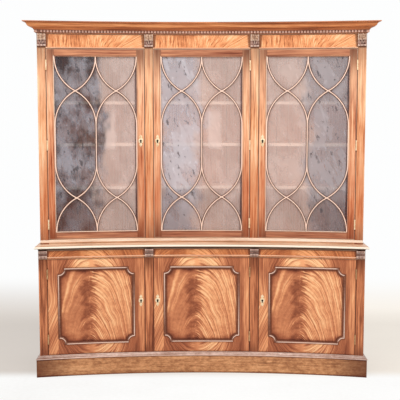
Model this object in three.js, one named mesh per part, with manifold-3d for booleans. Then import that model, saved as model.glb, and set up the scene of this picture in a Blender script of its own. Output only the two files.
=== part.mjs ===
// A library bookcase with a concave front: three glazed doors over three panelled doors.
// Millimetres, +Z up, the front faces -Y. The origin is on the floor, in the middle of the plan.
import * as THREE from 'three';
import { mergeVertices } from 'three/addons/utils/BufferGeometryUtils.js';
import Module from 'manifold-3d';

const wasm = await Module();
wasm.setup();

// Sizes of the whole
const caseWidth = 1928; // across both cases, which stand flush at the sides
const bow = 100; // how far the middle of the base front lies behind its ends
const baseDepth = 460; // from the base's front corners to the wall
const upperSetback = 80; // from the base front back to the upper front
const clearance = 0.3; // left between two pieces that touch
const overrun = 3; // how far a cutter passes the face it opens
const facetLength = 121; // longest flat step round the curved fronts
const weld = 1e-4; // vertices closer than this are one vertex

// Boards, and the members that make up the two fronts
const board = { side: 18, partition: 18, floor: 18, shelf: 18, back: 8, bearer: 12 };
const face = { thickness: 22, pilaster: 50, upright: 52 };
const tongue = 6; // how far a floor board reaches under the rail in front of it
const shelf = { setback: 34, endPlay: 1, facet: 130 };

// Base, from the floor upwards
const plinth = { height: 107, thickness: 22, projection: 18 };
const plinthMoulding = { height: 20, projection: 22 };
const baseRailHeight = 20.5;
const baseDoorHeight = 577;
const baseFrieze = { height: 54.5, beadRise: 4, beadHeight: 11, beadProjection: 5 };
const baseBlock = { rise: 9, width: 48, projection: 14 };
const tableTop = { thickness: 24, projection: 21 };

// Upper case
const upperRailHeight = 27.5;
const footMoulding = { rise: 9, height: 16, projection: 9 };
const glassDoor = { height: 1130, stile: 45, sticking: 6, stickingDepth: 7 };
const glass = { thickness: 3, rebate: 9, rebateDepth: 12 };
const upperFrieze = { height: 85.5, beadRise: 1, beadHeight: 7, beadProjection: 5 };
const bracket = { rise: 10, width: 50, projection: 14 };
const cornice = { height: 68, projection: 68, thickness: 20, lip: 6 };
const dentil = { pitch: 18.5, width: 10, projection: 13, web: 7, bed: 4, rise: 5, height: 13.5 };
const dustBoardDrop = 18; // the dust board's underside lies this far under the cornice

// Profiles, bottom to top, as shares of each moulding's projection and height
const plinthMouldingShares = [[1, 0], [1, 0.15], [0.58, 0.24], [0.25, 0.52], [0.09, 1]];
const tableTopShares = [[0.02, 0], [0.2, 0.18], [0.29, 0.4], [0.81, 0.46], [1, 0.62], [1, 0.83], [0.81, 1]];
const footMouldingShares = [[1, 0], [1, 0.3], [0.5, 0.7], [0.4, 1]];
const beadShares = [[0, 0], [1, 0.3], [0.8, 0.8], [0, 1]];
const baseBlockShares = [
  [0.5, 0], [0.78, 0.1], [0.78, 0.33], [0.3, 0.45], [0.35, 0.6], [0.9, 0.7], [1, 0.85], [0.8, 1],
];
const bracketShares = [
  [0.55, 0], [0.8, 0.06], [0.75, 0.17], [0.55, 0.28], [0.6, 0.5], [0.75, 0.7], [1, 0.85], [0.85, 1],
];
const corniceShares = [
  [0.2, 0.3], [0.32, 0.34], [0.5, 0.5], [0.57, 0.53], [0.62, 0.66], [0.71, 0.84], [0.76, 0.9],
];
const stickingShares = [[0, 0], [0.55, 0.2], [1, 1]]; // face to opening: its width and its depth

// Tracery of the glazed doors
const bar = { width: 13, edge: 5, front: 1, rise: 402, steps: 5 };

// Applied moulding of the panelled doors: margins to the door's edges, and its hollow corners
const panel = { sideMargin: 60, endMargin: 57, rise: 3, corner: 38, width: 13, height: 7.5, cornerSteps: 4 };
const panelShares = [[-0.5, 0], [-0.5, 0.53], [-0.25, 1], [0.15, 0.4], [0.5, 0]]; // across, and up from the door

// Fitting of the doors, hinges, locks and keyhole plates
const doorGap = 1.5;
const edgeBevelShare = 0.03; // extra slope of a door's edge, so that it clears the frame
const hinge = {
  height: 64, knuckle: 4.5, pin: 1.4, proud: 2.5, pocketPlay: 0.9, pinPlay: 1,
  sides: 6, pinSides: 4, upperInsets: [90, 95], baseInsets: [96, 87],
};
const fixedKnuckleShare = 0.32; // of the hinge's height, for each of its two outer knuckles
const lock = { upperRise: 22, baseRise: 28, height: 56, width: 32, edge: 2.4, thickness: 11, tube: 10.5, tubeSides: 4, tubeDepth: 13 };
const bolt = { height: 14, thickness: 6, length: 24, tip: 2.8, depth: 13, play: 0.3 };
const strikeDepth = 9.5;
const plate = { height: 73, width: 24, thickness: 1.5 };
const keyhole = { radius: 3, slotWidth: 3, slotLength: 8.5, depth: 14, sides: 5, openAngle: Math.PI / 3 };

// Upper right quarter of the plate's outline: shares of half its width and half its height
const plateShares = [[1, 0], [0.85, 0.2], [0.35, 0.42], [0.8, 0.6], [0.5, 0.8], [0, 1]];

// Tops of the shelves, as shares of the space from floor board to top
const upperShelfShares = [0.26, 0.477, 0.686];
const baseShelfShares = [0.5];

// Heights
const baseFloor = plinth.height;
const baseRailTop = baseFloor + baseRailHeight;
const baseDoorLow = baseRailTop + doorGap;
const baseDoorHigh = baseDoorLow + baseDoorHeight;
const baseFriezeLow = baseDoorHigh + doorGap;
const tableLow = baseFriezeLow + baseFrieze.height;
const tableHigh = tableLow + tableTop.thickness;
const upperRailTop = tableHigh + upperRailHeight;
const glassDoorLow = upperRailTop + doorGap;
const glassDoorHigh = glassDoorLow + glassDoor.height;
const upperFriezeLow = glassDoorHigh + doorGap;
const corniceLow = upperFriezeLow + upperFrieze.height;
const corniceHigh = corniceLow + cornice.height;
const dustBoardLow = corniceLow - dustBoardDrop;

// Plan: every curved face is an arc about one upright line in front of the bookcase
const halfCase = caseWidth / 2;
const baseRadius = (halfCase ** 2 + bow ** 2) / (2 * bow);
const upperRadius = baseRadius + upperSetback;
const cornerReach = (radius, out) => Math.sqrt((radius - out) ** 2 - (halfCase + out) ** 2);
const frontReach = Math.min(
  cornerReach(baseRadius, plinthMoulding.projection),
  cornerReach(baseRadius, tableTop.projection),
  cornerReach(upperRadius, cornice.projection),
);
const wallReach = cornerReach(baseRadius, 0) + baseDepth;
const arcCentreY = -(frontReach + wallReach) / 2;
const wallY = arcCentreY + wallReach;
const backFace = wallY - board.back;
const halfSteps = Math.ceil(halfCase / facetLength);
const flatness = facetLength ** 2 / (8 * baseRadius); // how far a flat step strays from its arc
const seat = clearance + flatness; // from a curved face to what lies on it

// One case's curved front. s runs along the face, depth goes into the case.
function makeFront(radius, heights) {
  const halfArc = radius * Math.asin(halfCase / radius);
  const bayArc = (2 * halfArc - 2 * face.pilaster - 2 * face.upright) / 3;
  return {
    ...heights,
    radius,
    halfArc,
    bayHalf: bayArc / 2,
    bayStep: bayArc + face.upright,
    lean: bayArc / 2 / radius + edgeBevelShare,
    at: (s, depth) => [
      (radius + depth) * Math.sin(s / radius),
      arcCentreY + (radius + depth) * Math.cos(s / radius),
    ],
    yAt: (x, depth) => arcCentreY + Math.sqrt((radius + depth) ** 2 - x ** 2),
  };
}

const baseFront = makeFront(baseRadius, {
  foot: baseFloor, floorTop: baseRailTop, roof: tableLow, top: tableLow,
  doorLow: baseDoorLow, doorHigh: baseDoorHigh,
  shelfShares: baseShelfShares, hingeInsets: hinge.baseInsets, hingeCount: 2, lockRise: lock.baseRise,
});
const upperFront = makeFront(upperRadius, {
  foot: tableHigh + clearance, floorTop: upperRailTop, roof: dustBoardLow, top: corniceLow,
  doorLow: glassDoorLow, doorHigh: glassDoorHigh,
  shelfShares: upperShelfShares, hingeInsets: hinge.upperInsets, hingeCount: 3, lockRise: lock.upperRise,
});

// The three bays: each door hangs on its left (-1) or on its right (+1)
const bays = [
  { name: 'left', index: -1, hingeSide: -1 },
  { name: 'middle', index: 0, hingeSide: 1 },
  { name: 'right', index: 1, hingeSide: 1 },
];
const bayCentre = (front, bay) => bay.index * front.bayStep;
const doorHalf = (front) => front.bayHalf - doorGap;
const shelfTops = (front) => front.shelfShares.map(
  (share) => front.floorTop + share * (front.roof - front.floorTop),
);

// Materials
const mahogany = new THREE.MeshStandardMaterial({ color: 0xa2562b, roughness: 0.32, metalness: 0 });
const flame = new THREE.MeshStandardMaterial({ color: 0xb5652f, roughness: 0.28, metalness: 0 });
const trim = new THREE.MeshStandardMaterial({ color: 0x8a4a2a, roughness: 0.35, metalness: 0 });
const inside = new THREE.MeshStandardMaterial({ color: 0x7d4630, roughness: 0.55, metalness: 0 });
const brass = new THREE.MeshStandardMaterial({ color: 0xc9a45c, roughness: 0.3, metalness: 1 });
const pane = new THREE.MeshStandardMaterial({
  color: 0xc9c6cf, roughness: 0.08, metalness: 0, transparent: true, opacity: 0.35,
});

// Turns a closed geometry's faces outwards
function faceOutwards(geometry) {
  const { position } = geometry.attributes;
  const { index } = geometry;
  const [a, b, c] = [new THREE.Vector3(), new THREE.Vector3(), new THREE.Vector3()];
  let volume = 0;
  for (let i = 0; i < index.count; i += 3) {
    a.fromBufferAttribute(position, index.getX(i));
    b.fromBufferAttribute(position, index.getX(i + 1));
    c.fromBufferAttribute(position, index.getX(i + 2));
    volume += a.dot(b.cross(c));
  }
  for (let i = 0; volume < 0 && i < index.count; i += 3) {
    const second = index.getX(i + 1);
    index.setX(i + 1, index.getX(i + 2));
    index.setX(i + 2, second);
  }
  return geometry;
}

// Skins a row of rings of [x, y, z]. section is the same ring in its own plane, for the end caps.
function loft(rings, section, closed = false) {
  const count = section.length;
  const spans = closed ? rings.length : rings.length - 1;
  const index = [];
  for (let i = 0; i < spans; i++) {
    const here = i * count;
    const next = ((i + 1) % rings.length) * count;
    for (let j = 0; j < count; j++) {
      const k = (j + 1) % count;
      index.push(here + j, next + j, next + k, here + j, next + k, here + k);
    }
  }
  if (!closed) {
    const contour = section.map(([u, v]) => new THREE.Vector2(u, v));
    const turn = Math.sign(THREE.ShapeUtils.area(contour));
    const end = (rings.length - 1) * count;
    for (const [a, b, c] of THREE.ShapeUtils.triangulateShape(contour, [])) {
      const same = Math.sign(THREE.ShapeUtils.area([contour[a], contour[b], contour[c]])) === turn;
      const [p, q, r] = same ? [a, b, c] : [a, c, b];
      index.push(p, q, r, end + r, end + q, end + p);
    }
  }
  const points = rings.flat().map(([x, y, z]) => new THREE.Vector3(x, y, z));
  const geometry = new THREE.BufferGeometry().setFromPoints(points);
  geometry.setIndex(index);
  return faceOutwards(geometry);
}

// The rings of several runs that have equally many points
const acrossRuns = (runs) => runs[0].map((_, i) => runs.map((run) => run[i]));

// An upright prism over a plan outline, with any holes
function prism(outline, low, high, holes = []) {
  const flat = (points) => points.map(([x, y]) => new THREE.Vector2(x, y));
  const shape = new THREE.Shape(flat(outline));
  for (const hole of holes) shape.holes.push(new THREE.Path(flat(hole)));
  const geometry = new THREE.ExtrudeGeometry(shape, { depth: high - low, bevelEnabled: false });
  return geometry.translate(0, 0, low);
}

// A box with two opposite corners, in either order
function block(corner, opposite) {
  const size = opposite.map((value, axis) => Math.abs(value - corner[axis]));
  const middle = opposite.map((value, axis) => (value + corner[axis]) / 2);
  return new THREE.BoxGeometry(...size).translate(...middle);
}

// Booleans
function toSolid(geometry) {
  let plain = geometry.clone();
  plain.deleteAttribute('normal');
  plain.deleteAttribute('uv');
  plain = mergeVertices(plain, weld);
  return new wasm.Manifold(new wasm.Mesh({
    numProp: 3,
    vertProperties: new Float32Array(plain.attributes.position.array),
    triVerts: new Uint32Array(plain.index.array),
  }));
}

function toGeometry(manifold) {
  const mesh = manifold.getMesh();
  const geometry = new THREE.BufferGeometry();
  geometry.setAttribute('position', new THREE.BufferAttribute(new Float32Array(mesh.vertProperties), 3));
  geometry.setIndex(new THREE.BufferAttribute(new Uint32Array(mesh.triVerts), 1));
  return geometry;
}

// A body with some solids cut out of it, then others joined on
function reshape(body, { remove = [], add = [] }) {
  let result = toSolid(body);
  for (const extra of remove) result = result.subtract(toSolid(extra));
  for (const extra of add) result = result.add(toSolid(extra));
  return toGeometry(result);
}

// Points of an arc about the common line, ending on two planes at the sides
function arcTo(radius, halfWidth) {
  const step = Math.asin(halfWidth / radius) / halfSteps;
  return Array.from({ length: 2 * halfSteps + 1 }, (_, i) => {
    const angle = (i - halfSteps) * step;
    return [radius * Math.sin(angle), arcCentreY + radius * Math.cos(angle)];
  });
}

// Points along a front between two places, on the same stations as arcTo
function arcBetween(front, from, to, depth) {
  const step = front.halfArc / halfSteps;
  const places = [from];
  for (let i = Math.ceil(from / step); i * step < to; i++) places.push(i * step);
  return [...places, to].map((s) => front.at(s, depth));
}

// Plan outline of a case grown outwards on its front and two sides
function caseOutline(front, out, rearY = wallY) {
  const curve = arcTo(front.radius - out, halfCase + out);
  return [[-halfCase - out, rearY], ...curve, [halfCase + out, rearY]];
}

// A curved front edge behind the face members, closed by a straight back edge
function boardOutline(front, halfWidth) {
  const curve = arcTo(front.radius + face.thickness + clearance, halfWidth);
  return [[-halfWidth, backFace - clearance], ...curve, [halfWidth, backFace - clearance]];
}

const profile = (shares, { projection, height }, low) => shares.map(
  ([u, v]) => [u * projection, low + v * height],
);

// A moulding of [out, z] points along the front only, ending flush with the case sides
function frontMoulding(front, points) {
  const runs = points.map(([out, z]) => arcTo(front.radius - out, halfCase).map(([x, y]) => [x, y, z]));
  return loft(acrossRuns(runs), points);
}

// The same along the front and both sides, mitred at the corners, ending at the wall
function wrapMoulding(front, points) {
  const runs = points.map(([out, z]) => caseOutline(front, out).map(([x, y]) => [x, y, z]));
  return loft(acrossRuns(runs), points);
}

// The same on a short stretch of the front
function shortMoulding(front, from, to, points) {
  return loft([from, to].map((s) => points.map(([out, z]) => [...front.at(s, -out), z])), points);
}

// A curved slab in a bay. Its side edges lean inwards with depth by the given share.
function baySlab(front, bay, half, depths, heights, lean = 0) {
  const centre = bayCentre(front, bay);
  const section = depths.flatMap((depth, i) => (i ? heights : heights.toReversed()).map((z) => [depth, z]));
  const steps = Math.ceil((2 * half) / facetLength);
  const rings = Array.from({ length: steps + 1 }, (_, i) => {
    const share = (2 * i) / steps - 1;
    return section.map(([depth, z]) => [...front.at(centre + share * (half - lean * depth), depth), z]);
  });
  return loft(rings, section);
}

// Sets a geometry built in a local frame (x along the face, y into the case) in its place
function placed(geometry, front, s) {
  const [x, y] = front.at(s, 0);
  return geometry.rotateZ(-s / front.radius).translate(x, y, 0);
}

// Hinges. The outer knuckles and the pin stay with the carcase, the middle knuckle goes with the
// door. Each member is cut back round the other one's knuckles.
function hingeParts(front, bay, z, moving) {
  const s = bayCentre(front, bay) + bay.hingeSide * (front.bayHalf - doorGap / 2);
  const half = hinge.height / 2;
  const split = half - hinge.height * fixedKnuckleShare;
  const inner = split - clearance;
  const upright = (radius, sides, [low, high]) => {
    const rod = new THREE.CylinderGeometry(radius, radius, high - low, sides);
    return placed(rod.rotateX(Math.PI / 2).translate(0, -hinge.proud, z + (low + high) / 2), front, s);
  };
  const knuckles = moving ? [[-inner, inner]] : [[-half, -split], [split, half]];
  const pockets = moving ? [[-half - clearance, -inner], [inner, half + clearance]] : [[-split, split]];
  return {
    pockets: pockets.map((span) => upright(hinge.knuckle + hinge.pocketPlay, hinge.sides, span)),
    knuckles: knuckles.map((span) => upright(hinge.knuckle, hinge.sides, span)),
    bore: upright(hinge.pin + hinge.pinPlay, hinge.pinSides, [-half, half]),
    pin: upright(hinge.pin, hinge.pinSides, [-half, half]),
  };
}

function withHinges(geometry, front, bay, moving) {
  const [low, high] = [front.doorLow + front.hingeInsets[0], front.doorHigh - front.hingeInsets[1]];
  let result = geometry;
  for (let i = 0; i < front.hingeCount; i++) {
    const z = low + ((high - low) * i) / (front.hingeCount - 1);
    const parts = hingeParts(front, bay, z, moving);
    result = reshape(result, { remove: parts.pockets, add: parts.knuckles });
    result = reshape(result, moving ? { remove: [parts.bore] } : { add: [parts.pin] });
  }
  return result;
}

// A solid built round the keyhole of a door, in its place
function atKeyhole(geometry, front, bay) {
  const lockSide = -bay.hingeSide;
  const s = bayCentre(front, bay) + lockSide * (doorHalf(front) - glassDoor.stile / 2);
  return placed(geometry.translate(0, 0, (front.doorLow + front.doorHigh) / 2 + front.lockRise), front, s);
}

// A box on the lock side: spans from the door's free edge inwards, in depth, and half its height
function edgeBox(front, bay, [from, to], [shallow, deep], half) {
  const lockSide = -bay.hingeSide;
  const across = (inset) => lockSide * (glassDoor.stile / 2 - inset);
  return atKeyhole(block([across(from), shallow, -half], [across(to), deep, half]), front, bay);
}

function keyTube(front, bay, radius, shallow, deep) {
  const rod = new THREE.CylinderGeometry(radius, radius, deep - shallow, lock.tubeSides);
  return atKeyhole(rod.translate(0, (shallow + deep) / 2, 0), front, bay);
}

function faceShape(front, bay, points, shallow, deep) {
  const shape = new THREE.Shape(points.map(([x, z]) => new THREE.Vector2(x, z)));
  const geometry = new THREE.ExtrudeGeometry(shape, { depth: deep - shallow, bevelEnabled: false });
  return atKeyhole(geometry.rotateX(Math.PI / 2).translate(0, deep, 0), front, bay);
}

function plateOutline() {
  const quarter = plateShares.map(([u, v]) => [(u * plate.width) / 2, (v * plate.height) / 2]);
  const right = [...quarter.slice(1).reverse().map(([x, z]) => [x, -z]), ...quarter];
  return [...right, ...right.slice(1, -1).reverse().map(([x, z]) => [-x, z])];
}

function keyholeOutline() {
  const { radius, sides, openAngle, slotWidth, slotLength } = keyhole;
  const round = Array.from({ length: sides + 1 }, (_, i) => {
    const angle = -openAngle + ((Math.PI + 2 * openAngle) * i) / sides;
    return [radius * Math.cos(angle), radius * Math.sin(angle)];
  });
  return [...round, [-slotWidth / 2, -slotLength], [slotWidth / 2, -slotLength]];
}

const lockDepth = face.thickness - lock.thickness;
const lockEnd = lock.edge + lock.width;
const grown = (low, high, play) => [low - play, high + play];
const boltDepths = grown(bolt.depth, bolt.depth + bolt.thickness, 0);
const boltHalf = bolt.height / 2;

// The lock's case, its key tube and the plate over the keyhole, with the bolt's channel
function lockPiece(front, bay) {
  const { play } = bolt;
  const shell = edgeBox(front, bay, [lock.edge, lockEnd], [lockDepth, face.thickness - clearance], lock.height / 2);
  const joined = reshape(shell, {
    add: [
      keyTube(front, bay, lock.tube, -seat - plate.thickness / 2, lock.tubeDepth),
      faceShape(front, bay, plateOutline(), -seat - plate.thickness, -seat),
    ],
  });
  const channel = edgeBox(
    front, bay, [-overrun, bolt.tip + bolt.length + play], grown(...boltDepths, play), boltHalf + play,
  );
  return reshape(joined, {
    remove: [faceShape(front, bay, keyholeOutline(), -overrun, keyhole.depth), channel],
  });
}

function boltPiece(front, bay) {
  return edgeBox(front, bay, [bolt.tip, bolt.tip + bolt.length], boltDepths, boltHalf);
}

// What the lock takes out of the door
function lockPocket(front, bay) {
  const depths = [lockDepth - clearance, face.thickness + overrun];
  return [
    edgeBox(front, bay, [-overrun, lockEnd + clearance], depths, lock.height / 2 + clearance),
    keyTube(front, bay, lock.tube + clearance, -overrun, lockDepth),
  ];
}

// What the bolt goes into when it is thrown
function strikePocket(front, bay) {
  const play = 2 * bolt.play;
  return edgeBox(front, bay, [-doorGap - strikeDepth, overrun], grown(...boltDepths, play), boltHalf + play);
}

// Bearers under the shelf ends, on one face of an upright board
function bearers(front, x, towards) {
  const frontY = front.yAt(x, face.thickness + shelf.setback);
  return shelfTops(front).map((top) => {
    const high = top - board.shelf - clearance;
    return block(
      [x - towards * clearance, frontY, high - board.bearer],
      [x + towards * board.bearer, backFace - clearance, high],
    );
  });
}

// A side board with the pilaster that covers its front edge
function sidePiece(front, side) {
  const bay = bays[side + 1];
  const inner = halfCase - board.side;
  const behind = face.thickness + clearance;
  const tenon = face.thickness + board.side;
  const edge = front.bayStep + front.bayHalf;
  const sideOutline = [
    [halfCase, wallY], [halfCase, front.yAt(halfCase, behind)], [inner, front.yAt(inner, behind)], [inner, wallY],
  ];
  const pilasterOutline = [
    front.at(front.halfArc, 0), front.at(edge, 0), front.at(edge - front.lean * face.thickness, face.thickness),
    [inner, front.yAt(inner, face.thickness)], [inner, front.yAt(inner, tenon)], [halfCase, front.yAt(halfCase, tenon)],
  ];
  const mirrored = (outline) => outline.map(([x, y]) => [side * x, y]);
  const piece = reshape(prism(mirrored(sideOutline), front.foot, front.top - clearance), {
    add: [
      prism(mirrored(pilasterOutline), front.foot, front.doorHigh + doorGap - clearance),
      ...bearers(front, side * inner, -side),
    ],
  });
  return bay.hingeSide === side ? withHinges(piece, front, bay, false) : piece;
}

// A partition with the upright that covers its front edge, the strikes of the doors
// that lock against it and the hinges of the door that hangs on it
function partitionPiece(front, side) {
  const neighbours = side < 0 ? bays.slice(0, 2) : bays.slice(1);
  const middle = (side * front.bayStep) / 2;
  const [from, to] = [middle - face.upright / 2, middle + face.upright / 2];
  const [x] = front.at(middle, 0);
  const [low, high] = [x - board.partition / 2, x + board.partition / 2];
  const { thickness } = face;
  const slope = front.lean * thickness;
  const tenon = thickness + board.partition;
  const behind = thickness + clearance;
  const rear = backFace - clearance;
  const uprightOutline = [
    front.at(from, 0), front.at(from - slope, thickness), [low, front.yAt(low, thickness)],
    [low, front.yAt(low, tenon)], [high, front.yAt(high, tenon)], [high, front.yAt(high, thickness)],
    front.at(to + slope, thickness), front.at(to, 0),
  ];
  const partitionOutline = [[low, front.yAt(low, behind)], [low, rear], [high, rear], [high, front.yAt(high, behind)]];
  const foot = front.floorTop + clearance;
  const [leftBay, rightBay] = neighbours;
  const locking = [
    ...(leftBay.hingeSide < 0 ? [leftBay] : []),
    ...(rightBay.hingeSide > 0 ? [rightBay] : []),
  ];
  const bare = reshape(prism(partitionOutline, foot, front.roof - clearance), {
    add: [
      prism(uprightOutline, foot, front.doorHigh + doorGap - clearance),
      ...bearers(front, low, -1),
      ...bearers(front, high, 1),
    ],
  });
  const piece = reshape(bare, { remove: locking.map((bay) => strikePocket(front, bay)) });
  return leftBay.hingeSide > 0 ? withHinges(piece, front, leftBay, false) : piece;
}

// A floor board with the rail that closes its front edge
function floorPiece(front, railLow) {
  const edge = front.bayStep + front.bayHalf - clearance;
  const thickness = face.thickness + tongue;
  const backEdge = edge - front.lean * thickness;
  const railOutline = [
    ...arcBetween(front, -edge, edge, 0), ...arcBetween(front, -backEdge, backEdge, thickness).reverse(),
  ];
  const high = front.floorTop;
  const floorBoard = prism(boardOutline(front, halfCase - board.side - clearance), high - board.floor, high);
  return reshape(prism(railOutline, railLow, high), { add: [floorBoard] });
}

function dustBoardPiece() {
  const outline = boardOutline(upperFront, halfCase - board.side - clearance);
  return prism(outline, dustBoardLow, dustBoardLow + board.floor - clearance);
}

function backPiece(low, high) {
  const inner = halfCase - board.side - clearance;
  return block([-inner, backFace, low], [inner, wallY, high]);
}

// A shelf between two upright boards, its front edge following the doors
function shelfPiece(front, bay, top) {
  const [partitionX] = front.at(front.bayStep / 2, 0);
  const nearX = bay.index ? partitionX + board.partition / 2 : board.partition / 2 - partitionX;
  const farX = bay.index ? halfCase - board.side : -nearX;
  const ends = [nearX + shelf.endPlay, farX - shelf.endPlay].map((x) => (bay.index || 1) * x);
  const [low, high] = ends.sort((a, b) => a - b);
  const steps = Math.ceil((high - low) / shelf.facet);
  const curve = Array.from({ length: steps + 1 }, (_, i) => {
    const x = low + ((high - low) * i) / steps;
    return [x, front.yAt(x, face.thickness + shelf.setback)];
  });
  const rear = backFace - clearance;
  return prism([[low, rear], ...curve, [high, rear]], top - board.shelf, top);
}

// The plinth is an open frame, mitred at the front corners
function plinthPiece() {
  const hole = caseOutline(baseFront, plinth.projection - plinth.thickness, wallY - plinth.thickness);
  return prism(caseOutline(baseFront, plinth.projection), 0, plinth.height - clearance, [hole]);
}

function plinthMouldingPiece() {
  const low = plinth.height;
  const points = profile(plinthMouldingShares, plinthMoulding, low);
  return wrapMoulding(baseFront, [[clearance, low], ...points, [clearance, low + plinthMoulding.height]]);
}

// The table top between the cases, with a rounded nose over a hollow neck
function tableTopPiece() {
  const levels = profile(tableTopShares, { projection: tableTop.projection, height: tableTop.thickness }, tableLow);
  const rings = levels.map(([out, z]) => caseOutline(baseFront, out).map(([x, y]) => [x, y, z]));
  return loft(rings, caseOutline(baseFront, 0));
}

function footMouldingPiece() {
  const low = tableHigh + footMoulding.rise;
  const points = profile(footMouldingShares, footMoulding, low);
  return frontMoulding(upperFront, [[clearance, low], ...points, [clearance, low + footMoulding.height]]);
}

// A frieze rail with a bead along its foot and a shaped block over each pilaster and upright
function friezePiece(front, low, high, frieze, shaped, shares) {
  const [foot, head] = [low + clearance, high - clearance];
  const bead = profile(beadShares, { projection: frieze.beadProjection, height: frieze.beadHeight }, low + frieze.beadRise);
  const rail = frontMoulding(front, [
    [-face.thickness, foot], [0, foot], ...bead, [0, head], [-face.thickness, head],
  ]);
  const base = low + shaped.rise;
  const points = profile(shares, { projection: shaped.projection, height: head - base }, base);
  const section = [[-face.thickness / 2, base], ...points, [-face.thickness / 2, head]];
  const half = shaped.width / 2;
  const places = [front.halfArc - half - clearance, front.bayStep / 2].flatMap((s) => [-s, s]);
  return reshape(rail, { add: places.map((s) => shortMoulding(front, s - half, s + half, section)) });
}

function cornicePiece() {
  const { projection, thickness, lip } = cornice;
  const foot = corniceLow + clearance;
  const bedTop = corniceLow + dentil.rise + dentil.height + 2 * clearance;
  return wrapMoulding(upperFront, [
    [-thickness, foot], [0, foot], [dentil.bed, corniceLow + dentil.rise / 2], [dentil.bed, bedTop],
    ...profile(corniceShares, cornice, corniceLow),
    [projection, corniceHigh - lip], [projection, corniceHigh], [-thickness, corniceHigh],
  ]);
}

// Dentils: one comb along the front and both returns, with a tooth on each corner
function dentilPiece() {
  const { pitch, width, projection, web, bed, rise, height } = dentil;
  const front = upperFront;
  const half = width / 2;
  const cornerY = front.yAt(halfCase, 0);
  const tooth = (from, to, at) => [at(from, web), at(from, projection), at(to, projection), at(to, web)];
  const onFront = (s, out) => front.at(s, -out);
  const onSide = (y, out) => [halfCase + out, y];
  const right = tooth(-half, half, onFront).slice(2);
  for (let s = pitch; s < front.halfArc - pitch; s += pitch) right.push(...tooth(s - half, s + half, onFront));
  const lastStart = front.halfArc - half;
  const corner = [halfCase + projection, front.yAt(halfCase + projection, -projection)];
  right.push(onFront(lastStart, web), onFront(lastStart, projection), corner);
  right.push(...tooth(cornerY, cornerY + half, onSide).slice(2));
  for (let y = cornerY + pitch; y + half < wallY; y += pitch) right.push(...tooth(y - half, y + half, onSide));
  right.push(onSide(wallY, web));
  const left = right.map(([x, y]) => [-x, y]).reverse();
  const low = corniceLow + rise + clearance;
  return prism([...left, ...right, ...caseOutline(front, bed + clearance).reverse()], low, low + height);
}

// Frame of a glazed door: one mitred ring with a moulded inner edge and a glass rebate
function doorFramePiece(front, bay) {
  const { stile, sticking, stickingDepth } = glassDoor;
  const { thickness } = face;
  const section = [
    [0, 0],
    ...stickingShares.map(([u, v]) => [stile - sticking + u * sticking, v * stickingDepth]),
    [stile, glass.rebateDepth], [stile - glass.rebate, glass.rebateDepth],
    [stile - glass.rebate, thickness], [0, thickness],
  ];
  const half = doorHalf(front);
  const centre = bayCentre(front, bay);
  const steps = Math.ceil((2 * (half - stile)) / facetLength);
  const rings = [];
  for (const end of [-1, 1]) {
    for (let i = 0; i <= steps; i++) {
      const share = -end * ((2 * i) / steps - 1);
      rings.push(section.map(([inward, depth]) => {
        const edge = half - inward - front.lean * depth * (1 - inward / stile);
        const reach = Math.abs(share) === 1 ? edge : half - stile;
        const z = end < 0 ? front.doorLow + inward : front.doorHigh - inward;
        return [...front.at(centre + share * reach, depth), z];
      }));
    }
  }
  return loft(rings, section, true);
}

function glassPiece(front, bay) {
  const margin = glassDoor.stile - glass.rebate + clearance;
  const shallow = glass.rebateDepth + clearance;
  const heights = [front.doorLow + margin, front.doorHigh - margin];
  return baySlab(front, bay, doorHalf(front) - margin, [shallow, shallow + glass.thickness], heights);
}

// A bar of the tracery along a path of [s, z], in a flat pattern of s, depth and z
function traceryBar(path) {
  const back = glass.rebateDepth - clearance;
  const section = [
    [-bar.width / 2, back], [-bar.edge / 2, bar.front], [bar.edge / 2, bar.front], [bar.width / 2, back],
  ];
  const rings = path.map(([s, z], i) => {
    const inner = i > 0 && i < path.length - 1;
    const along = inner ? [path[i + 1][0] - path[i - 1][0], path[i + 1][1] - path[i - 1][1]] : [0, -1];
    const length = Math.hypot(...along);
    return section.map(([across, depth]) => [
      s - (across * along[1]) / length, depth, z + (across * along[0]) / length,
    ]);
  });
  return loft(rings, section);
}

// Bends a flat pattern of s, depth and z to a front
function bent(geometry, front, centre) {
  const { position } = geometry.attributes;
  for (let i = 0; i < position.count; i++) {
    position.setXY(i, ...front.at(centre + position.getX(i), position.getY(i)));
  }
  return geometry;
}

// An S of two equal arcs, upright at both ends, from one place to another
function ogee([s0, z0], [s1, z1]) {
  const [run, drop] = [s1 - s0, z1 - z0];
  const sweep = 2 * Math.atan(Math.abs(run / drop));
  const radius = Math.abs(drop) / 2 / Math.sin(sweep);
  return Array.from({ length: 2 * bar.steps + 1 }, (_, i) => {
    const angle = (sweep * Math.min(i, 2 * bar.steps - i)) / bar.steps;
    const ds = Math.sign(run) * radius * (1 - Math.cos(angle));
    const dz = Math.sign(drop) * radius * Math.sin(angle);
    return i <= bar.steps ? [s0 + ds, z0 + dz] : [s1 - ds, z1 - dz];
  });
}

// Two tall ovals side by side: bars swing from the corners to the middle and back,
// and cross the bars that swing from the middle of the rails to the stiles.
function traceryPiece(front, bay) {
  const margin = glassDoor.stile + clearance;
  const reach = doorHalf(front) - margin - bar.width / 2;
  const [bottom, top] = [front.doorLow + margin, front.doorHigh - margin];
  const sweep = (start, turn) => traceryBar([
    ...ogee([start, top], [turn, top - bar.rise]),
    ...ogee([turn, bottom + bar.rise], [start, bottom]),
  ]);
  const flat = reshape(sweep(-reach, 0), { add: [sweep(reach, 0), sweep(0, -reach), sweep(0, reach)] });
  return bent(flat, front, bayCentre(front, bay));
}

function panelDoorLeaf(front, bay) {
  return baySlab(
    front, bay, doorHalf(front), [0, face.thickness], [front.doorLow, front.doorHigh], front.lean,
  );
}

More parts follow.
